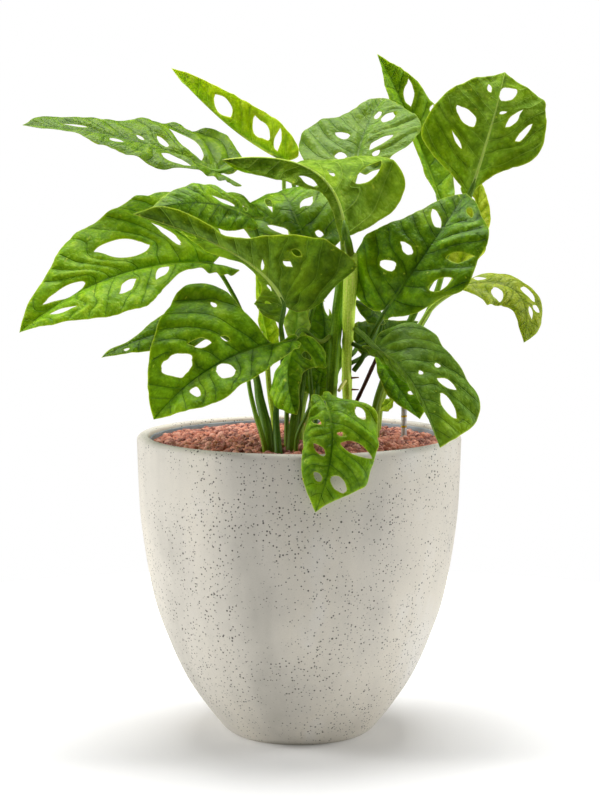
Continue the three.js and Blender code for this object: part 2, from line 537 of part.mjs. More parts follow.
// A blade of even thickness, its two halves joined along the rib
function bladeSolid(leaf, surface) {
  const { places, add } = placeList();
  const faces = [];
  [1, -1].forEach((sign, half) => {
    const place = ([along, out]) => new THREE.Vector2(along, sign * out);
    const margin = halfOutline(surface, half);
    const rib = [];
    for (let i = RIB_STEPS - 1; i > 0; i -= 1) rib.push([(surface.length * i) / RIB_STEPS, 0]);
    const holes = leaf.holes.filter((hole) => hole[1] * sign > 0).map((hole) => holeOutline(hole).map(place));
    const mesh = triangulate([...margin, ...rib].map(place), holes);
    const used = mesh.points.map(({ x, y }) => (
      add(x, y, () => surface.at(x / surface.length, y * sign > 0 ? half : 0, Math.abs(y)))));
    mesh.faces.forEach((face) => faces.push(face.map((i) => used[i])));
  });

  const normals = places.map(() => new THREE.Vector3());
  faces.forEach(([a, b, c]) => {
    const normal = places[b].clone().sub(places[a]).cross(places[c].clone().sub(places[a]));
    [a, b, c].forEach((i) => normals[i].add(normal));
  });
  normals.forEach((normal) => normal.setLength(BLADE_THICKNESS / 2));
  const upper = places.map((place, i) => place.clone().add(normals[i]));
  const lower = places.map((place, i) => place.clone().sub(normals[i]));
  return sheetSolid(upper, lower, faces);
}

// Petioles start just under the blade and end in the granules or beside a stalk

function rooted(points) {
  const [before, last] = points.slice(-2);
  if (last.z > STEM_FOOT) return points;
  const drift = last.clone().sub(before).setZ(0).multiplyScalar(ROOT_LEAN);
  return [...points, last.clone().add(drift).setZ(BED_TOP - ROOTED_LENGTH)];
}

function petioleOf(leaf, surface) {
  const thick = radiusAlong(leaf.thick, 0);
  const under = (u) => {
    const across = surface.at(u, 0, thick).sub(surface.at(u, 1, thick));
    const up = surface.tangent(u).cross(across).normalize();
    return surface.rib(u).addScaledVector(up, -PETIOLE_DROP * thick);
  };
  const points = rooted([under(PETIOLE_START), under(0), ...leaf.stem.map(vector)]);
  return { points, thick: leaf.thick, sides: PETIOLE_SIDES };
}

// The plain hole that a stem stands in, a little wider and deeper than the stem
function stemHole({ points, thick, sides }) {
  const [before, end] = points.slice(-2);
  const deeper = end.clone().sub(before).setLength(HOLE_GAP).add(end);
  const wider = [thick].flat().map((radius) => radius + HOLE_GAP);
  return tube({ points: [...points.slice(0, -1), deeper], thick: wider, sides });
}

// Pot and insert

const wallCurve = new THREE.SplineCurve(POT_CURVE.map(flat));
const outerWall = wallCurve.getPoints(POT_CURVE_STEPS).map(({ x, y }) => [x, y]);

// The radius of a wall, given as [radius, height] pairs, at one height
function radiusAt(wall, height) {
  const above = wall.findIndex((pair) => pair[1] >= height);
  if (above < 0) return wall[wall.length - 1][0];
  const [a, b] = [wall[Math.max(above - 1, 0)], wall[Math.max(above, 1)]];
  return THREE.MathUtils.mapLinear(height, a[1], b[1], a[0], b[0]);
}

const innerWall = WALL_LEVELS.map((height) => [radiusAt(outerWall, height) - POT_WALL, height]);

// A wall that follows the pot's inside at a distance, as [radius, height] pairs from the bottom up
function wallInside(distance, from, to) {
  const heights = [from, ...WALL_LEVELS.filter((level) => level > from && level < to), to];
  return heights.map((height) => [radiusAt(innerWall, height) - distance, height]);
}

function potProfile() {
  const rim = radiusAt(outerWall, POT_HEIGHT - POT_LIP);
  const lip = LIP_ANGLES.map((degrees) => [rim + POT_LIP * (Math.cos(radians(degrees)) - 1),
    POT_HEIGHT + POT_LIP * (Math.sin(radians(degrees)) - 1)]);
  const inside = wallInside(0, POT_FLOOR, POT_HEIGHT - POT_BEVEL).reverse();
  const bevel = [rim - POT_WALL + POT_BEVEL, POT_HEIGHT];
  return [[0, 0], ...outerWall, ...lip, bevel, ...inside, [0, POT_FLOOR], [0, 0]];
}

function linerProfile() {
  const outside = wallInside(LINER_GAP, LINER_FLOOR, LINER_TOP);
  const inside = wallInside(LINER_GAP + LINER_WALL, LINER_FLOOR + LINER_WALL, LINER_TOP).reverse();
  return [[0, LINER_FLOOR], ...outside, ...inside, [0, LINER_FLOOR + LINER_WALL], [0, LINER_FLOOR]];
}

// Granules: every cell of a jittered hexagonal lattice is one round-backed pebble on a low mound

function chance(i, j, k) {
  const [a, b, c, scale] = PEBBLE_DRAW;
  const value = Math.sin(a * i + b * j + c * k) * scale;
  return value - Math.floor(value);
}

function pebbleCentre(i, j) {
  const column = i + (j % 2 ? 0.5 : 0) + PEBBLE_SHIFT * (2 * chance(i, j, 1) - 1);
  const row = (j + PEBBLE_SHIFT * (2 * chance(i, j, 2) - 1)) * Math.sin(Math.PI / 3);
  return new THREE.Vector2(column * PEBBLE_PITCH, row * PEBBLE_PITCH);
}

function pebbleCorners(i, j) {
  const s = j % 2 ? 1 : 0;
  const around = [[i + 1, j], [i + s, j + 1], [i + s - 1, j + 1],
    [i - 1, j], [i + s - 1, j - 1], [i + s, j - 1]];
  const centres = around.map(([m, n]) => pebbleCentre(m, n));
  const centre = pebbleCentre(i, j);
  return centres.map((a, k) => a.clone().add(centres[(k + 1) % 6]).add(centre).divideScalar(3));
}

function pebbleSlab() {
  const radius = radiusAt(innerWall, BED_TOP);
  const ground = ({ x, y }) => BED_TOP + BED_MOUND * Math.max(0, 1 - (x * x + y * y) / radius ** 2);
  const { places, add } = placeList();
  const put = (point, rise) => (
    add(point.x, point.y, () => new THREE.Vector3(point.x, point.y, ground(point) + rise)));
  const faces = [];
  const reach = Math.ceil(radius / PEBBLE_PITCH);
  const rows = Math.ceil(reach / Math.sin(Math.PI / 3));
  for (let j = -rows; j <= rows; j += 1) {
    for (let i = -reach; i <= reach; i += 1) {
      const centre = pebbleCentre(i, j);
      const lift = PEBBLE_LIFT * (chance(i, j, 3) - PEBBLE_LOW);
      const corners = pebbleCorners(i, j);
      const edge = corners.map((corner) => put(corner, -PEBBLE_VALLEY));
      const shoulder = corners.map((corner) => (
        put(centre.clone().lerp(corner, PEBBLE_SHOULDER.reach), lift + PEBBLE_RISE * PEBBLE_SHOULDER.rise)));
      const crown = put(centre, lift + PEBBLE_RISE);
      corners.forEach((corner, k) => {
        const next = (k + 1) % 6;
        faces.push([crown, shoulder[k], shoulder[next]], [shoulder[k], edge[k], edge[next]],
          [shoulder[k], edge[next], shoulder[next]]);
      });
    }
  }
  const bottom = places.map(({ x, y }) => new THREE.Vector3(x, y, 0));
  return sheetSolid(places, bottom, faces);
}

function bedSolid(stems) {
  const floor = LINER_FLOOR + LINER_WALL + LINER_GAP;
  const highest = LINER_TOP + HOLE_REACH;
  const wall = wallInside(LINER_WALL + 2 * LINER_GAP, floor, highest);
  let bed = toSolid(turned([[0, floor], ...wall, [0, highest], [0, floor]], POT_SIDES));
  bed = bed.intersect(pebbleSlab());
  stems.filter(({ points }) => points[points.length - 1].z < BED_TOP).forEach((stem) => {
    bed = bed.subtract(stemHole(stem));
  });
  const gaugeHole = [[0, GAUGE_BOTTOM - HOLE_GAP], [GAUGE_RADIUS + HOLE_GAP, GAUGE_BOTTOM - HOLE_GAP],
    [GAUGE_RADIUS + HOLE_GAP, COLLAR.bottom - HOLE_GAP], [COLLAR.radius + HOLE_GAP, COLLAR.bottom - HOLE_GAP],
    [COLLAR.radius + HOLE_GAP, highest], [0, highest], [0, GAUGE_BOTTOM - HOLE_GAP]];
  return bed.subtract(toSolid(turned(gaugeHole, GAUGE_SIDES).translate(...GAUGE_PLACE, 0)));
}

// Water gauge: a clear tube with a float, a cap and a collar that rests on the granules

function gaugeParts() {
  const bore = GAUGE_RADIUS - GAUGE_WALL;
  const inside = bore - GAUGE_GAP;
  const floor = GAUGE_BOTTOM + GAUGE_WALL;
  const seat = GAUGE_TOP + GAUGE_GAP;
  return {
    gauge_tube: [[0, GAUGE_BOTTOM], [GAUGE_RADIUS, GAUGE_BOTTOM], [GAUGE_RADIUS, GAUGE_TOP],
      [bore, GAUGE_TOP], [bore, floor], [0, floor], [0, GAUGE_BOTTOM]],
    gauge_float: [[0, floor + GAUGE_GAP], [FLOAT.rod, floor + GAUGE_GAP],
      [FLOAT.rod, FLOAT.level - FLOAT.height], [inside, FLOAT.level - FLOAT.height],
      [inside, FLOAT.level - FLOAT.bevel], [inside - FLOAT.bevel, FLOAT.level],
      [0, FLOAT.level], [0, floor + GAUGE_GAP]],
    gauge_cap: [[0, seat - CAP.plug], [inside, seat - CAP.plug], [inside, seat],
      [CAP.radius, seat], [CAP.radius, seat + CAP.side], [CAP.crown, seat + CAP.height],
      [0, seat + CAP.height], [0, seat - CAP.plug]],
    gauge_collar: [[GAUGE_RADIUS + GAUGE_GAP, COLLAR.bottom], [COLLAR.radius, COLLAR.bottom],
      [COLLAR.radius, COLLAR.step], [COLLAR.neck, COLLAR.top], [GAUGE_RADIUS + GAUGE_GAP, COLLAR.top],
      [GAUGE_RADIUS + GAUGE_GAP, COLLAR.bottom]],
  };
}

// Assembly

const group = new THREE.Group();

function addPart(name, geometry, color, roughness) {
  const mesh = new THREE.Mesh(geometry, new THREE.MeshStandardMaterial({ color, roughness, metalness: 0 }));
  mesh.name = name;
  group.add(mesh);
}

const stems = [];

LEAVES.forEach((leaf) => {
  const surface = leafSurface(leaf);
  const petiole = petioleOf(leaf, surface);
  const color = SPECIAL_COLORS[leaf.name] ?? LEAF_COLOR;
  stems.push(petiole);
  addPart(leaf.name, toGeometry(bladeSolid(leaf, surface).add(tube(petiole))), color, 0.45);
});

STALKS.forEach((stalk) => {
  const stem = { points: rooted(stalk.path.map(vector)), thick: stalk.thick, sides: STALK_SIDES };
  let solid = tube(stem);
  stalk.shoots.forEach(({ path, thick }) => {
    solid = solid.add(tube({ points: path.map(vector), thick, sides: PETIOLE_SIDES }));
  });
  stems.push(stem);
  addPart(stalk.name, toGeometry(solid), stalk.color, 0.45);
});

addPart("planter_pot", turned(potProfile(), POT_SIDES), 0xd9d7cd, 0.85);
addPart("planter_liner", turned(linerProfile(), POT_SIDES), 0x7d8a93, 0.5);
addPart("granule_bed", toGeometry(bedSolid(stems)), 0xa8583f, 0.9);

const gaugeColors = {
  gauge_tube: 0xe8eaec,
  gauge_float: 0xc23b1e,
  gauge_cap: 0xdfe3e6,
  gauge_collar: 0xe8eaec,
};
Object.entries(gaugeParts()).forEach(([name, profile]) => {
  addPart(name, turned(profile, GAUGE_SIDES).translate(...GAUGE_PLACE, 0), gaugeColors[name], 0.2);
});

export default group;
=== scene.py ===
import math

import bpy
import numpy as np
from mathutils.geometry import delaunay_2d_cdt
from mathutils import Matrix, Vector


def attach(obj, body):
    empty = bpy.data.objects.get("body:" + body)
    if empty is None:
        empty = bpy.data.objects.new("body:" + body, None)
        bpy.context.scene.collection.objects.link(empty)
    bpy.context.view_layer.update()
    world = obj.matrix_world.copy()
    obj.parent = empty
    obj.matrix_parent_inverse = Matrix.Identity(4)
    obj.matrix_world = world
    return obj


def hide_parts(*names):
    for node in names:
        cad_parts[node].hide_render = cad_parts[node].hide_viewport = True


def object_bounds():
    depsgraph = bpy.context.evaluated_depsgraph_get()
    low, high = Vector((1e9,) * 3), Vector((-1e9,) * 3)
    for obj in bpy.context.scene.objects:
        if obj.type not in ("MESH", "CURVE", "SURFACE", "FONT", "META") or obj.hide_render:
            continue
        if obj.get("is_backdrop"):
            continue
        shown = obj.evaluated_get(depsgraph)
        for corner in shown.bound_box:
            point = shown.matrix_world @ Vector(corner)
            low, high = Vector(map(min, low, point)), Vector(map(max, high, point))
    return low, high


# A potted monstera with pierced leaves, in a stone-like planter filled with clay granules.
# Shapes are worked out in millimetres, +Z up, and become metres when a mesh is made.

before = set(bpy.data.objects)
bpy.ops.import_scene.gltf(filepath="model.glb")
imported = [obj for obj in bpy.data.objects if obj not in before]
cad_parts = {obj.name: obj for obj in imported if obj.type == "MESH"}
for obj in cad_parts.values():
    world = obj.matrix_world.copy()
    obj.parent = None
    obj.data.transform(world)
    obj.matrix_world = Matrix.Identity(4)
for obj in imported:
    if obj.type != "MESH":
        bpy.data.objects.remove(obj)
cad_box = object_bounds()

MM = 0.001

# Camera: its place in millimetres, pitch in degrees, and widths of lens and sensor
CAMERA_PLACE = (1, -2300, 608)
CAMERA_PITCH = -6.36
CAMERA_LENS = 98.96
CAMERA_SENSOR = 36

# Studio: light from all round as a share of the white that the camera sees, and the floor in metres
WORLD_LIGHT = 0.045
FLOOR_RADIUS = 0.9
FLOOR_SIDES = 96

# Lamps in metres and watts: place, the point each faces, width and height, power
LAMPS = {
    "side_left": ((-2.2, -0.05, 0.95), (0, 0, 0.35), (0.7, 2.0), 42),
    "side_right": ((2.2, 0.0, 0.95), (0, 0, 0.35), (0.7, 2.0), 29),
    "top": ((0.0, 0.3, 2.2), (0, 0, 0.4), (1.6, 1.2), 52),
}

# Pot: radius and height of points on its outer wall, from the foot to the rim
POT_HEIGHT = 316
POT_WALL = 13
POT_FLOOR = 22
POT_LIP = 5
POT_EDGE = 3
POT_FOOT = [60, 72]
POT_CURVE = [(73.5, 0), (80.5, 5), (88, 14), (101, 31), (120, 60), (138, 100), (154, 148), (167, 228),
             (170.7, 311)]
POT_SWELLS = [(70, 0.5, 3), (22, 0.14, 4)]
POT_SIDES = 192
POT_STEPS = 16
INSIDE_LEVELS = [22, 50, 85, 130, 200, 311]

# Insert
LINER_WALL = 2
LINER_GAP = 0.5
LINER_FLOOR = 80
LINER_TOP = 312

# Granules. Each layer of pebbles: spacing, drop below the ground, smallest and largest radius, lift
BED_TOP = 306
BED_MOUND = 5
ROOTED_LENGTH = 45
STEM_FOOT = 335
ROOT_LEAN = 0.3
PEBBLE_SHIFT = 0.28
PEBBLE_USUAL = 0.8
PEBBLE_LARGE = 1.25
PEBBLE_DENT = 0.1
PEBBLE_CUT = 0.12
CORE_DROP = 7
CORE_RISE = 3
CORE_SIDES = 96
PEBBLE_LAYERS = {
    "pebbles_top": (7.6, -0.6, (2.9, 4.6), (-1.2, 1.6)),
    "pebbles_low": (7.9, -4.6, (3.4, 4.6), (-0.6, 0.6)),
}

# Water gauge
GAUGE_PLACE = (112, 30)
GAUGE_RADIUS = 2.9
GAUGE_WALL = 0.9
GAUGE_TOP = 352
GAUGE_MIDDLE = 290
GAUGE_BOTTOM = 240
GAUGE_GAP = 0.3
GAUGE_MARKS = {"mark_full": 331, "mark_low": 320}
GAUGE_SIDES = 40
MARK_HALF = 1.1
FLOAT = dict(level=310, height=4, bevel=1, rod=1)
CAP = dict(plug=4, radius=3.3, crown=2.6, side=2.5, height=3.5)
COLLAR = dict(radius=5.2, neck=4.4, bottom=304, step=306, top=309.5)

# Leaf form, shared with the solids
WIDEST = 0.3
STATIONS = [0, 0.15, 0.3, 0.45, 0.6, 0.75, 0.9]
OVATE = [0.8, 0.97, 1, 0.92, 0.74, 0.48, 0.19]
LOBE = [(0, 0), (-0.65, 0.14), (-1, 0.42), (-0.6, 0.8)]
MARGIN_WAVE = 1.5
WAVES_PER_LEAF = 2.5
WAVE_LAG = 1.9
HOLE_TAPER = 0.2
PETIOLE_START = 0.08
PETIOLE_DROP = 0.7

# Leaf detail
BLADE_THICKNESS = 0.7
BLADE_PITCH = 2.3
EDGE_PITCH = 2.0
EDGE_ROUND = 0.22
VEIN_SLOPE = 0.45
VEIN_LEAN = 0.5
VEIN_BEND = 0.0022
VEIN_SPACING = (10, 22)
VEINS_PER_LEAF = 8
VEIN_RIDGE = 0.35
QUILT = 2.4
SWELL = 2.8
PUCKER = 0.9
RIPPLE = 2.2
BASE_PLEAT = 1.5
MARGIN_UNEVEN = 1.1
HOLE_UNEVEN = 0.18
HOLE_OPEN = 1.06
RIB_GROOVE = 0.7
RIB_RIDGE = 1.3
STEM_PITCH = 4.0
STEM_SIDES = 14
KNEE = dict(at=24, width=9, swell=0.14)
SHEATH = dict(start=0.45, swell=0.1)
CHANNEL = dict(width=0.5, depth=0.16)
STALK_SIDES = 24
STALK_NODE = dict(swell=0.09, width=2.2, neck=0.05, above=6, neck_width=4.0)
SHOOT_SIDES = 12
STEM_DEPTH = 50


def leaf_form(rib, left, right, lobe, wide, stem, tone, holes=(), curl=(20, 20), twist=(0, 0), thick=2.2,
              gain=1):
    """One leaf in millimetres. rib: base, middle and tip of its midrib. left and right: the margin
    beside the widest station, which set the way each half points. lobe: how far each half reaches
    behind the base. wide: half widths of the two halves at the stations. stem: the petiole's points,
    from below the blade down to the granules or a stalk. tone: which of the leaf finishes it has.
    holes: (along the rib, out from it (left +, right -), length, width, slant in degrees). curl: bend
    of each half in degrees. twist: how far each half has turned at the tip. thick: the petiole's
    radius, or radii at even steps. gain: how light the leaf is painted, partly for its own tone and
    partly as painted light and shade."""
    return dict(locals())


LEAVES = {
    "far_left": leaf_form(
        rib=[(-86, -30, 592), (-177, -45, 624), (-278, -70, 638)], left=(-135, -75, 597),
        right=(-151, 20, 646),
        lobe=(32, 30), wide=[[20, 34, 46, 46, 35, 15, 8], [95, 80, 66, 47, 31, 22, 17]],
        stem=[(-61, -10, 597), (-37, 18, 600), (-19, 35, 593), (-6, 66, 577), (-3, 68, 544),
        (10, 46, 454), (28, 26, 407), (25, 14, 382), (15, 0, 355), (7, -24, 312)],
        holes=[(37, -30, 56, 11, 48), (46, 22, 34, 13, 176), (62, -13, 16, 6, 43), (86, -9, 9, 4, 20),
        (111, 14, 15, 7, 171), (153, -8, 26, 4, 3)],
        thick=[2.2, 2.2, 2.2, 2.4, 3.1, 3.1], tone="fresh", gain=0.5),
    "top_left": leaf_form(
        rib=[(-17, 60, 603), (-77, 45, 642), (-133, 20, 698)], left=(-37, 40, 657), right=(-40, 100, 613),
        lobe=(14, 14), curl=(30, 20), wide=[[26, 34, 36, 31, 28, 21, 10], [20, 26, 28, 26, 22, 16, 8]],
        stem=[(-16, 58, 571), (-8, 45, 518), (7, 35, 455), (16, 28, 407), (12, 20, 376), (3, 6, 347),
        (0, -8, 310)],
        holes=[(93, 11, 28, 11, 18), (42, 17, 32, 11, 27), (17, 17, 25, 7, 62)],
        thick=[2.2, 2.2, 2.6, 4.4, 4.8], tone="light", gain=1.43),
    "big_left": leaf_form(
        rib=[(-88, -60, 498), (-183, -110, 488), (-274, -150, 435)], left=(-140, -130, 467),
        right=(-168, -40, 561),
        lobe=(26, 16), curl=(20, 30), wide=[[20, 12, 33, 51, 49, 37, 16], [88, 101, 83, 69, 58, 34, 17]],
        stem=[(-70, -56, 471), (-55, -62, 436), (-51, -74, 376), (-45, -82, 349), (-35, -96, 315)],
        holes=[(91, -28, 50, 17, 8), (64, 15, 25, 6, 38), (107, 21, 27, 9, 25), (164, -7, 46, 11, 2),
        (177, 12, 28, 5, 156), (41, -34, 35, 8, 57)],
        thick=[2.2, 2.2, 2.2, 2.6, 3.2], tone="fresh"),
    "left_arch": leaf_form(
        rib=[(-49, -80, 546), (-91, -105, 560), (-144, -140, 556)], left=(-74, -100, 528),
        right=(-72, -50, 573),
        lobe=(14, 20), curl=(20, 50), wide=[[14, 22, 24, 22, 17, 12, 5], [32, 42, 36, 30, 24, 18, 9]],
        stem=[(-38, -60, 512), (-24, -40, 460), (-16, -34, 413), (-13, -42, 362), (-13, -58, 308)],
        holes=[(34, -10, 28, 6, 14), (9, -8, 10, 5, 45)],
        thick=[2.2, 2.2, 2.2, 2.8], tone="green", gain=0.92),
    "centre_arch": leaf_form(
        rib=[(-15, -115, 460), (-61, -140, 510), (-161, -160, 551)], left=(3, -106, 519),
        right=(-44, -108, 476),
        lobe=(38, 36), curl=(30, 20), wide=[[91, 76, 51, 28, 14, 18, 16], [38, 20, 12, 12, 22, 15, 4]],
        stem=[(-18, -108, 440), (-17, -66, 408), (-18, -58, 381), (-23, -70, 354), (-23, -88, 331),
        (-21, -102, 309)],
        holes=[(30, -8, 15, 5, 160), (2, -20, 8, 5, 24), (138, -8, 14, 6, 165), (35, 30, 13, 6, 165),
        (36, 44, 13, 6, 158), (60, 9, 12, 4, 70)],
        thick=[2.2, 2.2, 2.2, 4, 4.3], tone="deep", gain=0.9),
    "inner": leaf_form(
        rib=[(7, -60, 518), (-16, -5, 567), (-28, 50, 553)], left=(-50, -30, 536), right=(47, -50, 537),
        lobe=(10, 10), curl=(15, 15), wide=[[40, 50, 54, 52, 46, 36, 20], [38, 46, 50, 48, 44, 36, 22]],
        stem=[(19, -44, 468), (12, -42, 444), (8, -47, 424), (3, -53, 378), (-4, -68, 339),
        (-8, -84, 308)],
        holes=[(58, 19, 32, 7, 175), (22, 21, 26, 7, 46), (42, -17, 22, 8, 52), (6, -17, 8, 4, 111)],
        thick=[2.2, 2.2, 3.2, 6, 6.4], tone="green", gain=0.85),
    "crown": leaf_form(
        rib=[(46, -90, 528), (13, -70, 592), (-78, -60, 603)], left=(112, -60, 571), right=(1, -80, 571),
        lobe=(4, 12), curl=(30, 20), twist=(110, 0), wide=[[5, 68, 75, 52, 48, 40, 20],
        [6, 8, 10, 18, 22, 21, 12]],
        stem=[(50, -78, 517), (51.6, -73.3, 508.6)],
        holes=[(79, -10, 28, 4, 6), (69, 18, 11, 5, 32), (50, 45, 36, 6, 82)],
        thick=4, tone="green"),
    "top_mid": leaf_form(
        rib=[(60, 20, 595), (70, 60, 633), (91, 100, 669)], left=(1, 50, 621), right=(127, 50, 641),
        lobe=(14, 14), curl=(25, 25), wide=[[52, 62, 66, 58, 36, 21, 12], [36, 46, 57, 60, 60, 53, 27]],
        stem=[(51, 0, 561), (46, -20, 536), (45, -30, 521), (46, -32, 505)],
        holes=[(44, 21, 16, 7, 77), (84, -7, 11, 6, 17), (81, -21, 19, 12, 27), (34, -24, 27, 12, 51),
        (13, 18, 13, 6, 82), (16, -21, 10, 6, 43)],
        thick=2.8, tone="painted_sheen", gain=0.5),
    "top_spear": leaf_form(
        rib=[(153, 90, 557), (122, 125, 644), (85, 120, 717)], left=(121, 100, 610), right=(178, 125, 622),
        lobe=(6, 10), curl=(10, 20), wide=[[3, 7, 10, 14, 20, 17, 8], [16, 24, 34, 36, 29, 23, 9]],
        stem=[(159, 80, 517), (152, 68, 474), (139, 62, 440), (115, 56, 403), (93, 50, 362),
        (84, 44, 331), (80, 38, 309)],
        holes=[(121, -12, 28, 9, 19), (96, -28, 8, 3, 47)],
        thick=[2.4, 3.2, 3.4, 3.2, 3], tone="fresh", gain=0.8),
    "top_right": leaf_form(
        rib=[(179, -10, 573), (198, -20, 638), (213, 0, 693)], left=(244, -10, 598), right=(130, -10, 618),
        lobe=(3, 8), curl=(20, 30), wide=[[4, 22, 50, 59, 57, 52, 44], [15, 52, 69, 66, 60, 50, 30]],
        stem=[(171, 12, 549), (154, 14, 503), (132, 6, 467), (118, 0, 438), (102, -6, 407),
        (86, -14, 369), (79, -18, 345), (77, -30, 313)],
        holes=[(68, -29, 26, 13, 50), (40, -31, 22, 4, 43), (107, -12, 11, 4, 25), (105, 10, 25, 12, 30),
        (82, 9, 9, 3, 53), (80, 22, 27, 8, 27), (68, 36, 27, 6, 27)],
        thick=[2.6, 3.6, 4, 3.8, 3.4, 3, 3], tone="green"),
    "right_dark": leaf_form(
        rib=[(89, -70, 453), (128, -85, 511), (171, -40, 569)], left=(63, -60, 519),
        right=(148, -110, 465),
        lobe=(15, 10), curl=(25, 25), wide=[[46, 62, 64, 58, 45, 31, 16], [12, 31, 44, 58, 51, 48, 24]],
        stem=[(80, -56, 435), (72, -44, 416), (64, -36, 397), (56.6, -33, 386)],
        holes=[(40, 25, 18, 13, 106), (70, 19, 16, 11, 73), (116, 11, 22, 8, 50), (89, -34, 27, 10, 58),
        (59, -34, 24, 10, 40), (135, -17, 12, 4, 134)],
        thick=2.6, tone="deep", gain=0.99),
    "right_back": leaf_form(
        rib=[(177, 90, 492), (190, 100, 532), (197, 110, 580)], left=(158, 90, 532), right=(211, 90, 545),
        lobe=(14, 14), curl=(15, 15), wide=[[20, 28, 32, 30, 24, 16, 8], [18, 22, 23, 22, 20, 16, 9]],
        stem=[(166, 86, 471), (143, 84, 441), (121, 84, 401), (103, 84, 370), (91, 80, 343),
        (87, 74, 317)],
        holes=[(73, 7, 9, 5, 56)],
        thick=[2.2, 2.6, 2.6], tone="light", gain=0.9),
    "right_low": leaf_form(
        rib=[(172, 20, 470), (227, 0, 466), (234, -20, 414)], left=(214, 40, 486), right=(198, -10, 456),
        lobe=(8, 8), wide=[[5, 20, 22, 20, 23, 23, 15], [8, 22, 34, 32, 26, 15, 8]],
        stem=[(156, 30, 459), (140, 28, 446), (122, 26, 417), (103, 24, 386), (89, 22, 360),
        (83, 18, 337), (82, 14, 316)],
        holes=[(42, -17, 28, 8, 24), (66, 12, 20, 9, 20), (87, 6, 13, 4, 8), (83, 15, 9, 5, 53),
        (14, 9, 12, 4, 165)],
        thick=[2.2, 3, 3.2], tone="light", gain=0.6),
    "right_fold": leaf_form(
        rib=[(77, -90, 414), (114, -125, 382), (139, -150, 321)], left=(144, -60, 434),
        right=(102, -60, 387),
        lobe=(12, 23), curl=(35, 20), wide=[[56, 59, 56, 52, 54, 59, 42], [22, 28, 32, 30, 24, 16, 7]],
        stem=[(66, -66, 425), (58.1, -48.2, 430.3)],
        holes=[(59, 32, 6, 5, 65), (79, 30, 18, 5, 40), (98, 22, 26, 7, 15), (58, 13, 5, 4, 47)],
        thick=2.6, tone="painted_sheen_deep", gain=1.15),
    "right_small": leaf_form(
        rib=[(79, -60, 404), (100, -75, 375), (122, -95, 343)], left=(116, -60, 387), right=(82, -80, 373),
        lobe=(8, 8), wide=[[4, 11, 20, 24, 25, 22, 13], [3, 7, 12, 15, 15, 12, 5]],
        stem=[(69, -52, 409), (55.1, -44.2, 414.9)],
        holes=[(55, 7, 5, 3, 38)],
        tone="deep", gain=1.76),
    "low_left": leaf_form(
        rib=[(-6, -100, 423), (-81, -130, 402), (-142, -165, 351)], left=(-43, -150, 389),
        right=(-74, -90, 476),
        lobe=(6, 6), curl=(15, 40), wide=[[16, 29, 36, 41, 43, 36, 18], [6, 4, 78, 88, 70, 51, 24]],
        stem=[(1, -88, 432), (8, -68, 429), (16, -62, 421), (24, -56, 418), (31.3, -49.2, 423.1)],
        holes=[(119, -22, 30, 22, 38), (90, -27, 22, 9, 29), (84, 14, 20, 19, 145), (124, 14, 14, 9, 78),
        (60, -58, 8, 4, 84), (66, -19, 10, 4, 45)],
        tone="green", gain=1.18),
    "low_left_back": leaf_form(
        rib=[(-95, -20, 431), (-148, -40, 424), (-201, -70, 403)], left=(-132, -60, 406),
        right=(-135, 0, 452),
        lobe=(14, 14), wide=[[21, 27, 30, 27, 22, 15, 7], [26, 30, 25, 18, 9, 3, 4]],
        stem=[(-66, -22, 412), (-46, -42, 385), (-40, -60, 358), (-34, -72, 334), (-31, -82, 312)],
        holes=[(97, 6, 6, 3, 172)],
        thick=[2.2, 3, 6, 6], tone="green", gain=0.84),
    "front": leaf_form(
        rib=[(25, -150, 367), (32, -180, 325), (16, -183, 262)], left=(76, -170, 331),
        right=(6, -170, 339),
        lobe=(14, 14), curl=(30, 25), wide=[[12, 42, 47, 45, 43, 37, 11], [13, 20, 27, 28, 28, 25, 14]],
        stem=[(22, -126, 368), (14, -120, 362), (5, -114, 344), (-2, -110, 327), (-3, -107, 310)],
        holes=[(45, 9, 9, 4, 64), (59, 24, 29, 9, 74), (62, -12, 16, 7, 141), (89, -9, 11, 6, 127),
        (91, 13, 20, 9, 60), (23, 30, 14, 7, 37), (28, -14, 12, 4, 142)],
        thick=1.9, tone="green"),
    "centre_fold": leaf_form(
        rib=[(-2, -82, 424), (-11, -98, 388), (-2, -102, 348)], left=(19, -80, 399), right=(-27, -80, 383),
        lobe=(10, 6), wide=[[40, 42, 28, 15, 12, 9, 6], [4, 5, 13, 26, 36, 32, 20]],
        stem=[(7, -70, 411), (12, -64, 374), (13, -68, 344), (12, -84, 312)],
        holes=[(13, 17, 10, 7, 70)],
        tone="green", gain=1.42),
    "narrow": leaf_form(
        rib=[(-33, 20, 408), (-40, 20, 450), (-47, 15, 494)], left=(-45, 5, 448), right=(-22, 32, 446),
        lobe=(6, 6), wide=[[8, 12, 13, 13, 12, 10, 6], [14, 16, 15, 12, 10, 8, 4]],
        stem=[(-33, 4, 383), (-31, -4, 361), (-27, -16, 337), (-23, -34, 307)],
        thick=[2.2, 3.1, 3.1, 3.1], tone="lime", gain=1.19),
    "pale": leaf_form(
        rib=[(-3, -60, 426), (-2, -60, 444), (-1, -55, 462)], left=(-13, -60, 438), right=(11, -60, 438),
        lobe=(8, 8), wide=[[10, 12, 13, 12, 10, 8, 4], [10, 13, 14, 12, 10, 7, 4]],
        stem=[(-4, -54, 407), (-2, -42, 385), (-1, -41, 356), (-2, -43, 306)],
        tone="painted_sheen", gain=1.71),
    "centre_back": leaf_form(
        rib=[(20, -20, 370), (27, -10, 416), (20, 10, 467)], left=(1, -10, 411), right=(48, 0, 410),
        lobe=(14, 14), wide=[None, None],
        stem=[(18, -30, 343), (16, -42, 312)],
        holes=[(84, -5, 14, 4, 170)],
        tone="deep", gain=1.1),
    "right_behind": leaf_form(
        rib=[(62, -10, 411), (93, 8, 421), (127, 34, 432)], left=(77, 8, 438), right=(86, -4, 402),
        lobe=(4, 4), curl=(15, 15), wide=[[20, 22, 21, 17, 13, 8, 4], [13, 16, 17, 15, 12, 8, 4]],
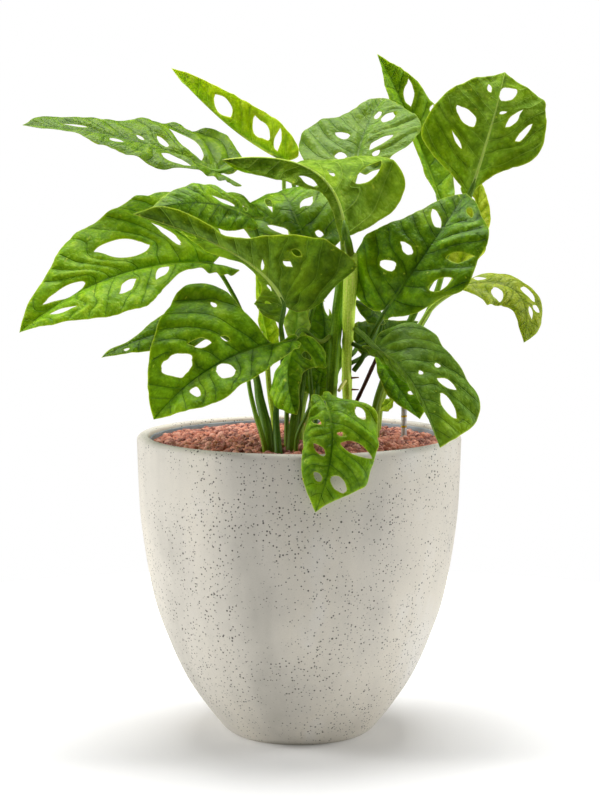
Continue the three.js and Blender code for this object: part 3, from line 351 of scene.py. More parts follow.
        stem=[(59, -18, 406), (53.4, -31.6, 401.6)],
        tone="deep", gain=0.62),
    "right_shade": leaf_form(
        rib=[(87, -20, 439), (73, -28, 450), (56, -24, 459)], left=(69, -30, 437), right=(76, -10, 458),
        lobe=(6, 6), curl=(15, 15), wide=[[6, 10, 13, 12, 10, 7, 3], [6, 10, 12, 12, 9, 6, 3]],
        stem=[(84, -16, 427), (73, -17, 404), (52.9, -29, 392.7)],
        tone="deep", gain=0.67),
    "small_pale": leaf_form(
        rib=[(87, 30, 338), (95, 30, 345), (102, 30, 352)], left=(91, 34, 348), right=(98, 24, 339),
        lobe=(3, 3), curl=(15, 15), wide=[[3, 5, 6, 6, 5, 3, 2], [3, 6, 8, 8, 6, 4, 2]],
        stem=[(85, 30, 328), (83, 22, 315)],
        thick=1.6, tone="lime", gain=0.85),
}

# Stalks: path from the top down, radius, and short shoots (path, radius at the root and the tip)
STALKS = {
    "stalk_right": dict(
        path=[(52, -72, 508), (52, -61, 480), (51, -54, 455), (50, -42, 419), (49, -34, 395), (50, -28, 355),
        (50, -20, 312)],
        thick=[7, 7.3, 6.3, 5.5, 5.2, 4.9, 4.9, 4.9], nodes=(417, 377),
        shoots=[([(52, -32, 378), (62, -34, 379)], 1.3, 0.7), ([(52, -30, 366), (62, -32, 366)], 1.3, 0.6),
        ([(48, -34, 376), (41, -57, 368)], 2.2, 1.8)]),
    "stalk_left": dict(
        path=[(46, -32, 504), (44, -30, 480), (41, -35, 453), (37, -46, 419), (35, -50, 395), (33, -48, 357),
        (33, -45, 313)],
        thick=[6.2, 6.3, 6.3, 6.1, 5.6, 5.2, 5, 5], nodes=(433,), shoots=[]),
    "stalk_dead": dict(path=[(82, 14, 395), (70, 14, 368), (57, 16, 338), (52, 16, 312)], thick=[2],
        nodes=(383, 355), shoots=[]),
}


# Small helpers

def unit(v):
    return v / np.linalg.norm(v, axis=-1, keepdims=True)


def smooth(low, high, x):
    t = np.clip((x - low) / (high - low), 0, 1)
    return t * t * (3 - 2 * t)


def columns(*values):
    """A table from its columns, each an array or one number for every row."""
    return np.column_stack(np.broadcast_arrays(*values)).astype(float)


def turns(sides):
    """Evenly spaced angles round a circle."""
    return 2 * math.pi * np.arange(sides) / sides


def neighbours(sides):
    return [(j, (j + 1) % sides) for j in range(sides)]


# Large odd numbers that scatter the cells of the noise: for x, y and z, for the seed, and to mix
CELL_FACTORS = (73856093, 19349663, 83492791)
SEED_FACTOR = 2654435761
MIX_FACTORS = ((13, 1274126177), (15, 2246822519))
LOW_BITS = 0xFFFFFFFF
DRAWS = 65535


def noise(points, size, seed=0):
    """Smooth noise from -1 to 1 at points (n, 3), with bumps about as wide as size."""
    def draws(cell):
        x, y, z = (cell * CELL_FACTORS).T
        n = (x ^ y ^ z ^ (seed + 1) * SEED_FACTOR) & LOW_BITS
        for shift, factor in MIX_FACTORS:
            n = ((n ^ (n >> shift)) * factor) & LOW_BITS
        return (n >> 8 & DRAWS) / DRAWS

    place = np.asarray(points, float) / size
    cell = np.floor(place).astype(np.int64)
    share = place - cell
    share = share * share * (3 - 2 * share)
    total = np.zeros(len(place))
    for corner in range(8):
        step = np.array([corner & 1, corner >> 1 & 1, corner >> 2 & 1])
        total += np.prod(np.where(step == 1, share, 1 - share), axis=1) * draws(cell + step)
    return 2 * total - 1


def make_piece(name, points, faces, materials, layers=None, kinds=None):
    """A mesh object from points in millimetres. layers are point attributes and kinds face materials."""
    mesh = bpy.data.meshes.new(name)
    mesh.from_pydata((np.asarray(points) * MM).tolist(), [], faces)
    for material in materials:
        mesh.materials.append(material)
    if kinds is not None:
        mesh.polygons.foreach_set("material_index", np.asarray(kinds, np.int32))
    mesh.polygons.foreach_set("use_smooth", [True] * len(mesh.polygons))
    for key, values in (layers or {}).items():
        layer = mesh.attributes.new(key, "FLOAT_VECTOR", "POINT")
        layer.data.foreach_set("vector", np.asarray(values, np.float32).ravel())
    mesh.update()
    piece = bpy.data.objects.new(name, mesh)
    bpy.context.scene.collection.objects.link(piece)
    return piece


class Parts:
    """Shells that are gathered into one mesh, with their point layers and face materials."""

    def __init__(self, *keys):
        self.points, self.faces, self.kinds = [], [], []
        self.layers = {key: [] for key in keys}
        self.count = 0

    def add(self, points, faces, kind, layers):
        self.points.append(points)
        self.faces += [[i + self.count for i in face] for face in faces]
        self.kinds += list(kind) if hasattr(kind, "__len__") else [kind] * len(faces)
        for key, rows in self.layers.items():
            rows.append(layers[key])
        self.count += len(points)

    def make(self, name, materials):
        layers = {key: np.concatenate(rows) for key, rows in self.layers.items()}
        return make_piece(name, np.concatenate(self.points), self.faces, materials, layers, self.kinds)


# Curves, tubes and turned bodies

def catmull_even(knots, steps):
    """An even Catmull-Rom curve through flat knots."""
    knots = np.asarray(knots, float)
    ends = np.concatenate([knots[:1], knots, knots[-1:]])
    t = np.linspace(0, 1, steps, endpoint=False)[:, None]
    out = [b + 0.5 * t * (c - a + t * (2 * a - 5 * b + 4 * c - d + t * (3 * (b - c) + d - a)))
           for a, b, c, d in zip(ends, ends[1:], ends[2:], ends[3:])]
    return np.concatenate([*out, knots[-1:]])


def catmull_path(knots, steps):
    """A centripetal Catmull-Rom curve through knots in space."""
    knots = np.asarray(knots, float)
    ends = np.concatenate([2 * knots[:1] - knots[1:2], knots, 2 * knots[-1:] - knots[-2:-1]])
    t = np.linspace(0, 1, steps, endpoint=False)[:, None]
    out = []
    for a, b, c, d in zip(ends, ends[1:], ends[2:], ends[3:]):
        first, gap, last = [math.sqrt(np.linalg.norm(q - p)) for p, q in ((a, b), (b, c), (c, d))]
        start = ((b - a) / first - (c - a) / (first + gap)) * gap + (c - b)
        finish = ((d - c) / last - (d - b) / (gap + last)) * gap + (c - b)
        cubic = 2 * b - 2 * c + start + finish
        square = -3 * b + 3 * c - 2 * start - finish
        out.append(b + t * (start + t * (square + t * cubic)))
    return np.concatenate([*out, knots[-1:]])


def run_length(points):
    return np.concatenate([[0], np.cumsum(np.linalg.norm(np.diff(points, axis=0), axis=1))])


def resample(points, pitch):
    """The same curve with about one point every pitch millimetres."""
    lengths = run_length(points)
    at = np.linspace(0, lengths[-1], max(2, int(round(lengths[-1] / pitch)) + 1))
    return np.stack([np.interp(at, lengths, column) for column in points.T], axis=1)


def ring_frames(path):
    """Two directions across a path at each of its points, that turn as little as they can."""
    tangents = unit(np.gradient(path, axis=0))
    side = np.cross(tangents[0], [0, 1, 0.1])
    sides = []
    for tangent in tangents:
        side = unit(side - tangent * (side @ tangent))
        sides.append(side)
    return np.array(sides), np.cross(tangents, sides)


def ring_faces(rows, sides, loop=False):
    """Faces between rings of points. A loop's last ring meets its first."""
    faces = []
    for i in range(rows if loop else rows - 1):
        a, b = i * sides, (i + 1) % rows * sides
        faces += [[a + j, a + k, b + k, b + j] for j, k in neighbours(sides)]
    return faces


def body_faces(rows, sides):
    """Faces of rings whose ends are closed by two more points, the first end's and the last end's."""
    pole, base = rows * sides, (rows - 1) * sides
    faces = ring_faces(rows, sides)
    for j, k in neighbours(sides):
        faces += [[pole, k, j], [pole + 1, base + j, base + k]]
    return faces


def tube(path, radius, sides=STEM_SIDES):
    """A closed tube, with how far along and how far round each point is. radius has a number for
    each point of the path, or one for each point and side."""
    across, over = ring_frames(path)
    angles = turns(sides)[:, None]
    radius = np.asarray(radius, float)
    radius = np.broadcast_to(radius[:, None] if radius.ndim == 1 else radius, (len(path), sides))
    out = across[:, None] * np.cos(angles) + over[:, None] * np.sin(angles)
    rings = path[:, None] + radius[..., None] * out
    run = run_length(path)
    along = np.concatenate([np.repeat(run, sides), run[:1], run[-1:]])
    turn = np.concatenate([np.tile(np.arange(sides) / sides, len(path)), [0, 0]])
    points = np.concatenate([rings.reshape(-1, 3), path[:1], path[-1:]])
    return points, body_faces(len(path), sides), along, turn


def turned(profile, sides, centre=(0, 0), ring=False):
    """A body turned round the Z axis from (radius, height) pairs that start and end on it, or a ring
    turned from a closed loop of them."""
    profile = np.asarray(profile, float)
    rows = profile if ring else profile[1:-1]
    angles = turns(sides)
    radius, height = rows[:, :1], rows[:, 1:]
    points = np.stack([radius * np.cos(angles), radius * np.sin(angles), height + 0 * angles], axis=-1)
    points = points.reshape(-1, 3)
    if not ring:
        points = np.concatenate([points, [(0, 0, profile[0, 1]), (0, 0, profile[-1, 1])]])
    faces = ring_faces(len(rows), sides, True) if ring else body_faces(len(rows), sides)
    return points + [*centre, 0], faces


def rounded(profile, radius, steps=3):
    """A profile with its inner corners replaced by arcs of about the given radius."""
    profile = [np.array(p, float) for p in profile]
    out = [profile[0]]
    for a, b, c in zip(profile, profile[1:], profile[2:]):
        before, after = np.linalg.norm(a - b), np.linalg.norm(c - b)
        reach = min(radius, 0.45 * before, 0.45 * after)
        start = b + (a - b) / max(before, 1e-9) * reach
        finish = b + (c - b) / max(after, 1e-9) * reach
        out += [(1 - t) ** 2 * start + 2 * t * (1 - t) * b + t * t * finish for t in np.linspace(0, 1, steps)]
    return [*out, profile[-1]]


def radius_along(thick, share):
    """The radius at shares of a tube's length, where thick is one radius or several at even steps."""
    radii = np.atleast_1d(thick).astype(float)
    return np.interp(share, np.linspace(0, 1, len(radii)), radii) if len(radii) > 1 else 0 * share + radii[0]


def rooted(points):
    """A stem's points with one more below the top of the granules."""
    foot = points[-1] + (points[-1] - points[-2]) * ROOT_LEAN
    foot[2] = BED_TOP - ROOTED_LENGTH
    return [*points, foot]


def stem_layers(run, turn, girth, seed):
    """What a stem's finish needs: run, place round it in millimetres, share round and along, seed."""
    return {"leaf": columns(run, turn * 2 * math.pi * girth, STEM_DEPTH),
            "vein": columns(turn, run / run.max(), seed)}


# A leaf's curved surface, the same as that of its solid

class LeafSurface:
    def __init__(self, leaf):
        base, middle, tip = [np.array(p, float) for p in leaf["rib"]]
        self.base, self.tip = base, tip
        self.control = 2 * middle - (base + tip) / 2
        self.length = np.linalg.norm(middle - base) + np.linalg.norm(tip - middle)
        self.reference = self.tangent(WIDEST)
        self.halves = []
        for k, key in enumerate(("left", "right")):
            out = np.array(leaf[key], float) - self.rib(WIDEST)
            out = out - self.reference * (out @ self.reference)
            width = np.linalg.norm(out)
            self.halves.append(dict(direction=out / width, width=width, lobe=leaf["lobe"][k],
                                    wide=leaf["wide"][k] or [share * width for share in OVATE],
                                    curl=math.radians(leaf["curl"][k]), twist=math.radians(leaf["twist"][k])))

    def rib(self, u):
        u = np.asarray(u, float)[..., None]
        curve = (1 - u) ** 2 * self.base + 2 * u * (1 - u) * self.control + u * u * self.tip
        return np.where(u < 0, self.base + 2 * u * (self.control - self.base), curve)

    def tangent(self, u):
        u = np.clip(np.asarray(u, float), 0, 1)[..., None]
        return unit((1 - u) * (self.control - self.base) + u * (self.tip - self.control))

    def at(self, u, half, r):
        """Points at u along the rib and r millimetres out from it."""
        side = self.halves[half]
        along = self.tangent(u)
        middle = self.reference + along
        out = side["direction"] - middle * (2 * (middle @ side["direction"])
                                            / (middle * middle).sum(-1))[..., None]
        up = np.cross(along, out) if half == 0 else np.cross(out, along)
        turn = (side["twist"] * np.maximum(u - WIDEST, 0) / (1 - WIDEST))[..., None]
        out, up = out * np.cos(turn) + up * np.sin(turn), up * np.cos(turn) - out * np.sin(turn)
        curl, bend = side["curl"], side["curl"] / side["width"]
        reach = (math.sin(curl / 2) - np.sin(curl / 2 - bend * r)) / bend
        arch = (np.cos(curl / 2 - bend * r) - math.cos(curl / 2)) / bend
        phase = 2 * math.pi * WAVES_PER_LEAF * u + half * WAVE_LAG
        wave = MARGIN_WAVE * (r / side["width"]) ** 2 * np.sin(phase)
        return self.rib(u) + out * reach[..., None] + up * (arch + wave)[..., None]


def margin_outline(surface, half, seed):
    """The flat outline of half a leaf in millimetres, from the base round the lobe to the tip."""
    wide, lobe = surface.halves[half]["wide"], surface.halves[half]["lobe"]
    back = lobe / surface.length
    knots = [*((along * back, out * wide[0]) for along, out in LOBE), *zip(STATIONS, wide), (1, 0)]
    curve = catmull_even(knots, 12) * [surface.length, 1]
    curve[:, 0] = np.minimum(curve[:, 0], surface.length)
    curve[:, 1] = np.maximum(curve[:, 1], 0)
    curve = resample(curve, EDGE_PITCH)
    along = run_length(curve)
    across = np.gradient(curve, axis=0)[:, ::-1] * [-1, 1]
    across = across / np.maximum(np.linalg.norm(across, axis=1, keepdims=True), 1e-9)
    place = columns(along, 7.3 * seed, 50.0 * half)
    uneven = MARGIN_UNEVEN * (noise(place, 17, seed) + 0.35 * noise(place, 5, seed + 1))
    uneven = uneven * smooth(0, 12, along) * smooth(0, 16, along[-1] - along) * smooth(0, 10, curve[:, 1])
    curve = curve + across * uneven[:, None]
    curve[:, 1] = np.maximum(curve[:, 1], 0)
    curve[0] = (0, 0)
    curve[-1] = (surface.length, 0)
    return curve


def hole_outline(hole, seed):
    """A hole with an uneven edge: an oval, or a spindle with pointed ends where it is long."""
    along, out, length, width, slant = hole
    length, width = length * HOLE_OPEN, width * HOLE_OPEN + 0.4
    turn = turns(max(14, int(math.pi * (length + width) / 2 / EDGE_PITCH)))
    around = columns(np.cos(turn), np.sin(turn), 3.7 * seed)
    uneven = 1 + HOLE_UNEVEN * (noise(around, 0.7, seed) + 0.4 * noise(around, 0.3, seed + 5))
    point = 0.75 * smooth(1.2, 2.8, length / width)
    x = uneven * length / 2 * np.cos(turn)
    y = uneven * width / 2 * np.sin(turn) * np.abs(np.sin(turn)) ** point * (1 + 0.22 * point)
    bend = 0.05 * length * np.sin(turn * 0.5 + seed) * (1 - np.cos(2 * turn)) / 2
    y = y * (1 - HOLE_TAPER * np.cos(turn)) + bend
    angle = math.radians(slant)
    return columns(along + x * math.cos(angle) - y * math.sin(angle),
                   abs(out) + x * math.sin(angle) + y * math.cos(angle))


def inside(points, loop):
    """Which flat points lie inside a closed loop."""
    result = np.zeros(len(points), bool)
    x, y = points[:, 0], points[:, 1]
    for (ax, ay), (bx, by) in zip(loop, np.roll(loop, -1, axis=0)):
        if ay != by:
            crosses = (ay > y) != (by > y)
            result ^= crosses & (x < (bx - ax) * (y - ay) / (by - ay) + ax)
    return result


def edge_distance(points, chains):
    """The distance of flat points to the nearest of several chains of edges."""
    nearest = np.full(len(points), 1e9)
    for chain in chains:
        for a, b in zip(chain, chain[1:]):
            d = b - a
            t = np.clip(((points - a) @ d) / max(d @ d, 1e-12), 0, 1)
            nearest = np.minimum(nearest, np.linalg.norm(points - a - t[:, None] * d, axis=1))
    return nearest


def half_mesh(surface, half, holes, seed):
    """Flat triangles of half a leaf: points (along, out), faces, and each point's distance to an edge."""
    margin = margin_outline(surface, half, seed)
    rib = columns(np.linspace(surface.length, 0, int(surface.length / EDGE_PITCH) + 1), 0)
    loops = [np.concatenate([margin, rib[1:-1]])] + [hole_outline(h, seed + n) for n, h in enumerate(holes)]
    chains = [margin] + [np.concatenate([loop, loop[:1]]) for loop in loops[1:]]

    def on_blade(flat):
        return inside(flat, loops[0]) & ~np.any([inside(flat, hole) for hole in loops[1:]], axis=0)

    low, high = loops[0].min(0), loops[0].max(0)
    row = BLADE_PITCH * math.sin(math.pi / 3)
    grid = [columns(np.arange(low[0] + (n % 2) * BLADE_PITCH / 2, high[0], BLADE_PITCH), y)
            for n, y in enumerate(np.arange(row, high[1], row))]
    grid.append(columns(np.arange(low[0], high[0], EDGE_PITCH), 1.2))
    grid = np.concatenate(grid)
    grid = grid[on_blade(grid) & (edge_distance(grid, chains) > 0.45 * BLADE_PITCH)]
    edges, start = [], 0
    for loop in loops:
        edges += [(start + i, start + k) for i, k in neighbours(len(loop))]
        start += len(loop)
    made = delaunay_2d_cdt(list(map(tuple, np.concatenate([*loops, grid]))), edges, [], 0, 1e-5)
    places = np.array([tuple(v) for v in made[0]])
    faces = np.array(made[2])
    corners = places[faces]
    area = np.cross(corners[:, 1] - corners[:, 0], corners[:, 2] - corners[:, 0])
    keep = on_blade(corners.mean(axis=1)) & (np.abs(area) > 1e-4)
    faces, area = faces[keep], area[keep]
    faces[area < 0] = faces[area < 0][:, ::-1]
    return places, faces, edge_distance(places, chains)


def flat_leaf(leaf, surface, seed):
    """Both halves of a leaf as one flat mesh: points (along, out with its sign), faces, edge distance."""
    places, faces, depths, index = [], [], [], {}
    for half, sign in enumerate((1, -1)):
        holes = [hole for hole in leaf["holes"] if hole[1] * sign > 0]
        flat, triangles, depth = half_mesh(surface, half, holes, seed + 20 * half)
        used = {}
        for i in np.unique(triangles):
            key = (round(flat[i, 0], 3), round(sign * flat[i, 1], 3))
            if key not in index:
                index[key] = len(places)
                places.append((flat[i, 0], sign * flat[i, 1]))
                depths.append(depth[i])
            used[i] = index[key]
        faces += [[used[i] for i in triangle[::sign]] for triangle in triangles]
    return np.array(places), np.array(faces), np.array(depths)


def vein_phase(leaf, surface, flat):
    """Where a flat point lies between the side veins, counted from the base. Veins part round holes."""
    spacing = np.clip(surface.length / VEINS_PER_LEAF, *VEIN_SPACING)

    def straight(points):
        out = np.abs(points[:, 1])
        u = np.clip(points[:, 0] / surface.length, 0, 1)
        return (points[:, 0] - (VEIN_SLOPE + VEIN_LEAN * u) * out - VEIN_BEND * out ** 2) / spacing

    phase = straight(flat) + 0.14 * noise(columns(*flat.T, 0), 26, 3)
    for along, out, length, width, slant in leaf["holes"]:
        centre = np.array([[along, out]])
        angle = math.radians(slant) * (1 if out > 0 else -1)
        offset = flat - centre
        x = offset[:, 0] * math.cos(angle) + offset[:, 1] * math.sin(angle)
        y = offset[:, 1] * math.cos(angle) - offset[:, 0] * math.sin(angle)
        reach = np.hypot(x / (0.55 * length + 1), y / (0.6 * width + 1))
        push = np.minimum(1, 1 / np.maximum(reach, 0.1) ** 2) * smooth(3.4, 1.2, reach)
        phase = phase - (flat[:, 1] * out > 0) * push * (straight(flat) - straight(centre))
    return phase + np.where(flat[:, 1] >= 0, 0, 0.35)


def leaf_relief(surface, flat, depth, vein, beside, width, seed):
    """How far the blade stands out from its smooth form: pleats between veins, swells and waves. The
    second value is a height from the same relief that paints shade into the leaf colour in its valleys
    and light onto its ridges.
    """
    out = np.abs(flat[:, 1])
    size = min(1, width / 45)
    draw = columns(np.floor(vein) * 1.7 + np.where(flat[:, 1] >= 0, 0.0, 40.0), 9.1 * seed, out / 60)
    strength = 0.8 + 0.45 * noise(draw, 1.0, seed)
    pleat = QUILT * strength * (1 - beside ** 2) * smooth(0, 12, out) * (0.35 + 0.65 * smooth(0, 8, depth))
    place = columns(*flat.T, 9.7 * seed)
    swells = SWELL * noise(place, 34, seed) + 0.5 * SWELL * noise(place, 15, seed + 1)
    pucker = PUCKER * np.abs(noise(place, 6.5, seed + 2)) * smooth(0, 4, depth)
    ripple = RIPPLE * (out / width) ** 2 * np.sin(math.pi * vein + 1.3 * seed)
    reach = np.hypot(*flat.T)
    rays = BASE_PLEAT * np.sin(9 * np.arctan2(out, flat[:, 0]) + seed)
    rays = rays * smooth(4, 20, reach) * smooth(80, 25, reach) * smooth(0, 8, out)
    relief = size * (pleat + swells + ripple + rays) + pucker
    # Painted shade and highlight: this height darkens the leaf colour in the valleys and lightens it on the
    # ridges.
    height = (size * (pleat + rays) + pucker) / QUILT + 0.25 * swells / SWELL
    return relief * smooth(-2, 10, out), height


def blade(leaf, surface, seed):
    """The leaf's two faces and its edge, with midrib, veins and the swell between them."""
    flat, faces, depth = flat_leaf(leaf, surface, seed)
    u, out = flat[:, 0] / surface.length, np.abs(flat[:, 1])
    middle = np.where(flat[:, 1:] >= 0, surface.at(u, 0, out), surface.at(u, 1, out))
    corners = middle[faces]
    across = np.cross(corners[:, 1] - corners[:, 0], corners[:, 2] - corners[:, 0])
    normals = np.zeros_like(middle)
    for k in range(3):
        np.add.at(normals, faces[:, k], across)
    normals = unit(normals)

    vein = vein_phase(leaf, surface, flat)
    beside = np.abs(vein - np.floor(vein) - 0.5) * 2
    width = max(half["width"] for half in surface.halves)
    relief, height = leaf_relief(surface, flat, depth, vein, beside, width, seed)
    taper = np.clip(1.15 - u, 0.12, 1) * smooth(-0.12, 0.02, u)
    groove = RIB_GROOVE * taper * np.exp(-(out / (1.4 * taper + 0.3)) ** 2)
    ridge = RIB_RIDGE * taper * np.exp(-(out / (1.5 * taper + 0.3)) ** 2)
    ridge = ridge + VEIN_RIDGE * smooth(0.75, 1, beside) * smooth(0, 9, out) * smooth(0, 7, depth)
    thin = BLADE_THICKNESS / 2 * (0.55 + 0.45 * smooth(0, 3, depth))
    upper = middle + normals * (relief - groove + thin)[:, None]
    lower = middle + normals * (relief - groove - ridge - thin)[:, None]

    count = len(flat)
    triangles = [[a, b, c] for a, b, c in faces] + [[a + count, c + count, b + count] for a, b, c in faces]
    kinds = [0] * len(faces) + [1] * len(faces)
    opposite = {(face[i], face[(i + 1) % 3]): face[(i + 2) % 3] for face in faces for i in range(3)}
    edges = [edge for edge in opposite if edge[::-1] not in opposite]
    rims = {}
    for a, b in edges:
        for i in (a, b):
            rims.setdefault(i, []).append(unit((middle[a] + middle[b]) / 2 - middle[opposite[a, b]]))
    rim_index = {i: 2 * count + n for n, i in enumerate(rims)}
    rim = np.array([(upper[i] + lower[i]) / 2 + EDGE_ROUND * unit(np.sum(ways, axis=0))
                    for i, ways in rims.items()])
    for a, b in edges:
        triangles += [[b, a, rim_index[a], rim_index[b]], [rim_index[b], rim_index[a], a + count, b + count]]
        kinds += [0, 1]
    order = np.concatenate([np.arange(count), np.arange(count), np.array(list(rims), int)])
    # The shade layer holds the height for the painted shade and highlight, the leaf's gain and a seed.
    layers = {"leaf": columns(*flat[order].T, depth[order]), "vein": columns(vein, u, out / width)[order],
              "shade": columns(height[order], leaf["gain"], 3.3 * seed)}
    return np.concatenate([upper, lower, rim]), triangles, kinds, layers


def petiole(leaf, surface, seed):
    """The leaf's stem, from under the blade to its stalk or into the granules."""
    thick = float(np.atleast_1d(leaf["thick"])[0])

    def under(u):
        across = surface.at(u, 0, thick) - surface.at(u, 1, thick)
        return surface.rib(u) - PETIOLE_DROP * thick * unit(np.cross(surface.tangent(u), across))

    points = [under(PETIOLE_START), under(0.0), *(np.array(p, float) for p in leaf["stem"])]
    if points[-1][2] < STEM_FOOT:
        points = rooted(points)
    path = resample(catmull_path(points, 16), STEM_PITCH)
    along = run_length(path)
    share = along / along[-1]
    thick = radius_along(leaf["thick"], share)
    sheath = smooth(SHEATH["start"], 1, share)
    knee = np.exp(-((along - KNEE["at"]) / KNEE["width"]) ** 2)
    swell = 1 + KNEE["swell"] * knee + SHEATH["swell"] * sheath
    radius = thick * (0.3 + 0.7 * smooth(0, 12, along)) * swell
    radius = radius * (1 + 0.05 * noise(columns(along, 0, seed * 3.1), 12, seed))
    channel = np.exp(-((turns(STEM_SIDES) - math.pi) / CHANNEL["width"]) ** 2)
    rings = radius[:, None] * (1 - CHANNEL["depth"] * channel * (0.4 + 0.6 * sheath[:, None]))
    points, faces, run, turn = tube(path, rings)
    layers = stem_layers(run, turn, thick.max(), seed)
    return points, faces, {**layers, "shade": columns(0 * run, leaf["gain"], seed)}


# Materials

def srgb(*color):
    """A colour as it looks on a screen, from 0 to 255, made linear."""
    shares = [value / 255 for value in color]
    return (*(v / 12.92 if v <= 0.04045 else ((v + 0.055) / 1.055) ** 2.4 for v in shares), 1)


class Look:
    """A node material and short ways to add nodes to it."""

    def __init__(self, name, **settings):
        self.material = bpy.data.materials.new(name)
        self.material.use_nodes = True
        self.tree = self.material.node_tree
        self.tree.nodes.clear()
        self.shader = self.tree.nodes.new("ShaderNodeBsdfPrincipled")
        output = self.tree.nodes.new("ShaderNodeOutputMaterial")
        self.tree.links.new(self.shader.outputs[0], output.inputs["Surface"])
        for key, value in settings.items():
            self.set(key.replace("_", " "), value)

    def put(self, socket, value):
        if isinstance(value, bpy.types.NodeSocket):
            self.tree.links.new(value, socket)
        elif value is not None:
            socket.default_value = value

    def set(self, key, value):
        self.put(self.shader.inputs[key], value)

    def node(self, kind, *values, inputs=None, **settings):
        made = self.tree.nodes.new("ShaderNode" + kind)
        for key, value in settings.items():
            setattr(made, key, value)
        for socket, value in zip(made.inputs, values):
            self.put(socket, value)
        for key, value in (inputs or {}).items():
            self.put(made.inputs[key], value)
        return made

    def math(self, operation, *values):
        return self.node("Math", *values, operation=operation).outputs[0]

    def times(self, first, second):
        return self.math("MULTIPLY", first, second)

    def range(self, value, low, high, to_low=0.0, to_high=1.0, smooth_step=True):
        kind = "SMOOTHSTEP" if smooth_step else "LINEAR"
        return self.node("MapRange", value, low, high, to_low, to_high, interpolation_type=kind).outputs[0]

    def layer(self, name):
        return self.parts(self.node("Attribute", attribute_name=name).outputs["Vector"])

    def parts(self, vector):
        return self.node("SeparateXYZ", vector).outputs

    def vector(self, x=0.0, y=0.0, z=0.0):
        return self.node("CombineXYZ", x, y, z).outputs[0]

    def place(self):
        return self.node("TexCoord").outputs["Object"]

    def join(self, operation, first, second):
        made = self.node("VectorMath", operation=operation)
        self.put(made.inputs[0], first)
        self.put(made.inputs[1], second)
        return made.outputs[0]

    def noise(self, vector, scale, detail=2.0, rough=0.5, output="Fac"):
        inputs = {"Vector": vector, "Scale": scale, "Detail": detail, "Roughness": rough}
        return self.node("TexNoise", inputs=inputs).outputs[output]

    def cells(self, vector, scale, feature="F1"):
        return self.node("TexVoronoi", inputs={"Vector": vector, "Scale": scale}, feature=feature).outputs

    def ramp(self, value, *stops):
        made = self.node("ValToRGB", value)
        elements = made.color_ramp.elements
        while len(elements) < len(stops):
            elements.new(0.5)
        for element, (place, color) in zip(elements, stops):
            element.position = place
            element.color = srgb(*color)
        return made.outputs["Color"]

    def mix(self, share, first, second, blend="MIX"):
        inputs = {"Factor": share, 6: first, 7: second}
        return self.node("Mix", data_type="RGBA", blend_type=blend, inputs=inputs).outputs[2]

    def bump(self, height, strength, distance):
        inputs = {"Height": height, "Strength": strength, "Distance": distance}
        self.set("Normal", self.node("Bump", inputs=inputs).outputs[0])


# Leaf finishes: dark, middle and light of the upper face, then the same of the underside. Their greens are
# partly the leaves' own and partly painted: the deep ones are darker partly as painted shade, the light one
# lighter partly as painted light, and the two greyer, bluer ones carry a painted sheen.
LEAF_TONES = {
    "fresh": [(70, 106, 2), (108, 146, 18), (150, 182, 40), (76, 104, 14), (106, 134, 40), (140, 164, 72)],
    "green": [(44, 76, 0), (86, 124, 6), (124, 158, 28), (62, 90, 4), (96, 126, 22), (134, 160, 56)],
    "deep": [(32, 60, 0), (64, 100, 2), (104, 140, 18), (44, 66, 4), (76, 104, 18), (112, 140, 40)],
    # Painted sheen on a deep green partly darkened as painted shade: greyer, bluer greens for a grey-blue
    # reflection.
    "painted_sheen_deep": [(44, 70, 6), (80, 110, 28), (116, 144, 58), (60, 84, 20), (90, 116, 40), (124, 148, 76)],
    "light": [(108, 130, 14), (156, 170, 50), (190, 200, 82), (96, 124, 22), (132, 156, 50), (164, 182, 84)],
    # Painted sheen: greyer, bluer greens for a grey-blue reflection.
    "painted_sheen": [(92, 130, 34), (124, 160, 58), (154, 182, 82), (96, 124, 50), (124, 150, 76), (152, 174, 104)],
    "lime": [(90, 122, 2), (134, 164, 16), (178, 196, 50), (100, 130, 10), (140, 164, 34), (176, 192, 70)],
}

# Petiole finishes: dark, middle and light, and the colour of the foot
PETIOLE_TONES = {
    "fresh": [(52, 88, 2), (92, 130, 12), (138, 168, 50), (112, 126, 8)],
    "green": [(36, 66, 0), (72, 106, 6), (116, 148, 34), (96, 114, 4)],
    "deep": [(28, 54, 0), (58, 92, 4), (98, 130, 24), (48, 76, 0)],
    "painted_sheen_deep": [(44, 72, 4), (82, 114, 24), (120, 150, 56), (70, 96, 6)],
    "light": [(98, 130, 20), (138, 168, 50), (182, 200, 96), (110, 140, 20)],
    "painted_sheen": [(84, 120, 24), (120, 152, 50), (160, 184, 88), (110, 140, 30)],
    "lime": [(100, 128, 6), (144, 170, 28), (186, 202, 74), (140, 150, 20)],
}

# Stalk finishes: dark, middle and light
STALK_TONES = {
    "stalk_bright": [(126, 166, 30), (182, 212, 62), (222, 236, 130)],
    "stalk_green": [(64, 104, 2), (98, 138, 8), (140, 176, 42)],
    "stalk_dry": [(24, 12, 8), (52, 26, 18), (92, 54, 38)],
    "aerial_root": [(84, 50, 26), (120, 76, 40), (156, 108, 64)],
    "torn_stub": [(150, 150, 60), (196, 196, 104), (226, 222, 160)],
}
EDGE_COLOR = (150, 176, 60)
FLECK_COLOR = (176, 188, 60)
YELLOW_COLOR = (142, 172, 20)
RIB_COLOR = (166, 186, 92)
GREEN_GAIN = 1.5
LEAF_DEPTH = 0.004
LEAF_REACH = (0.85, 1.0, 0.14)


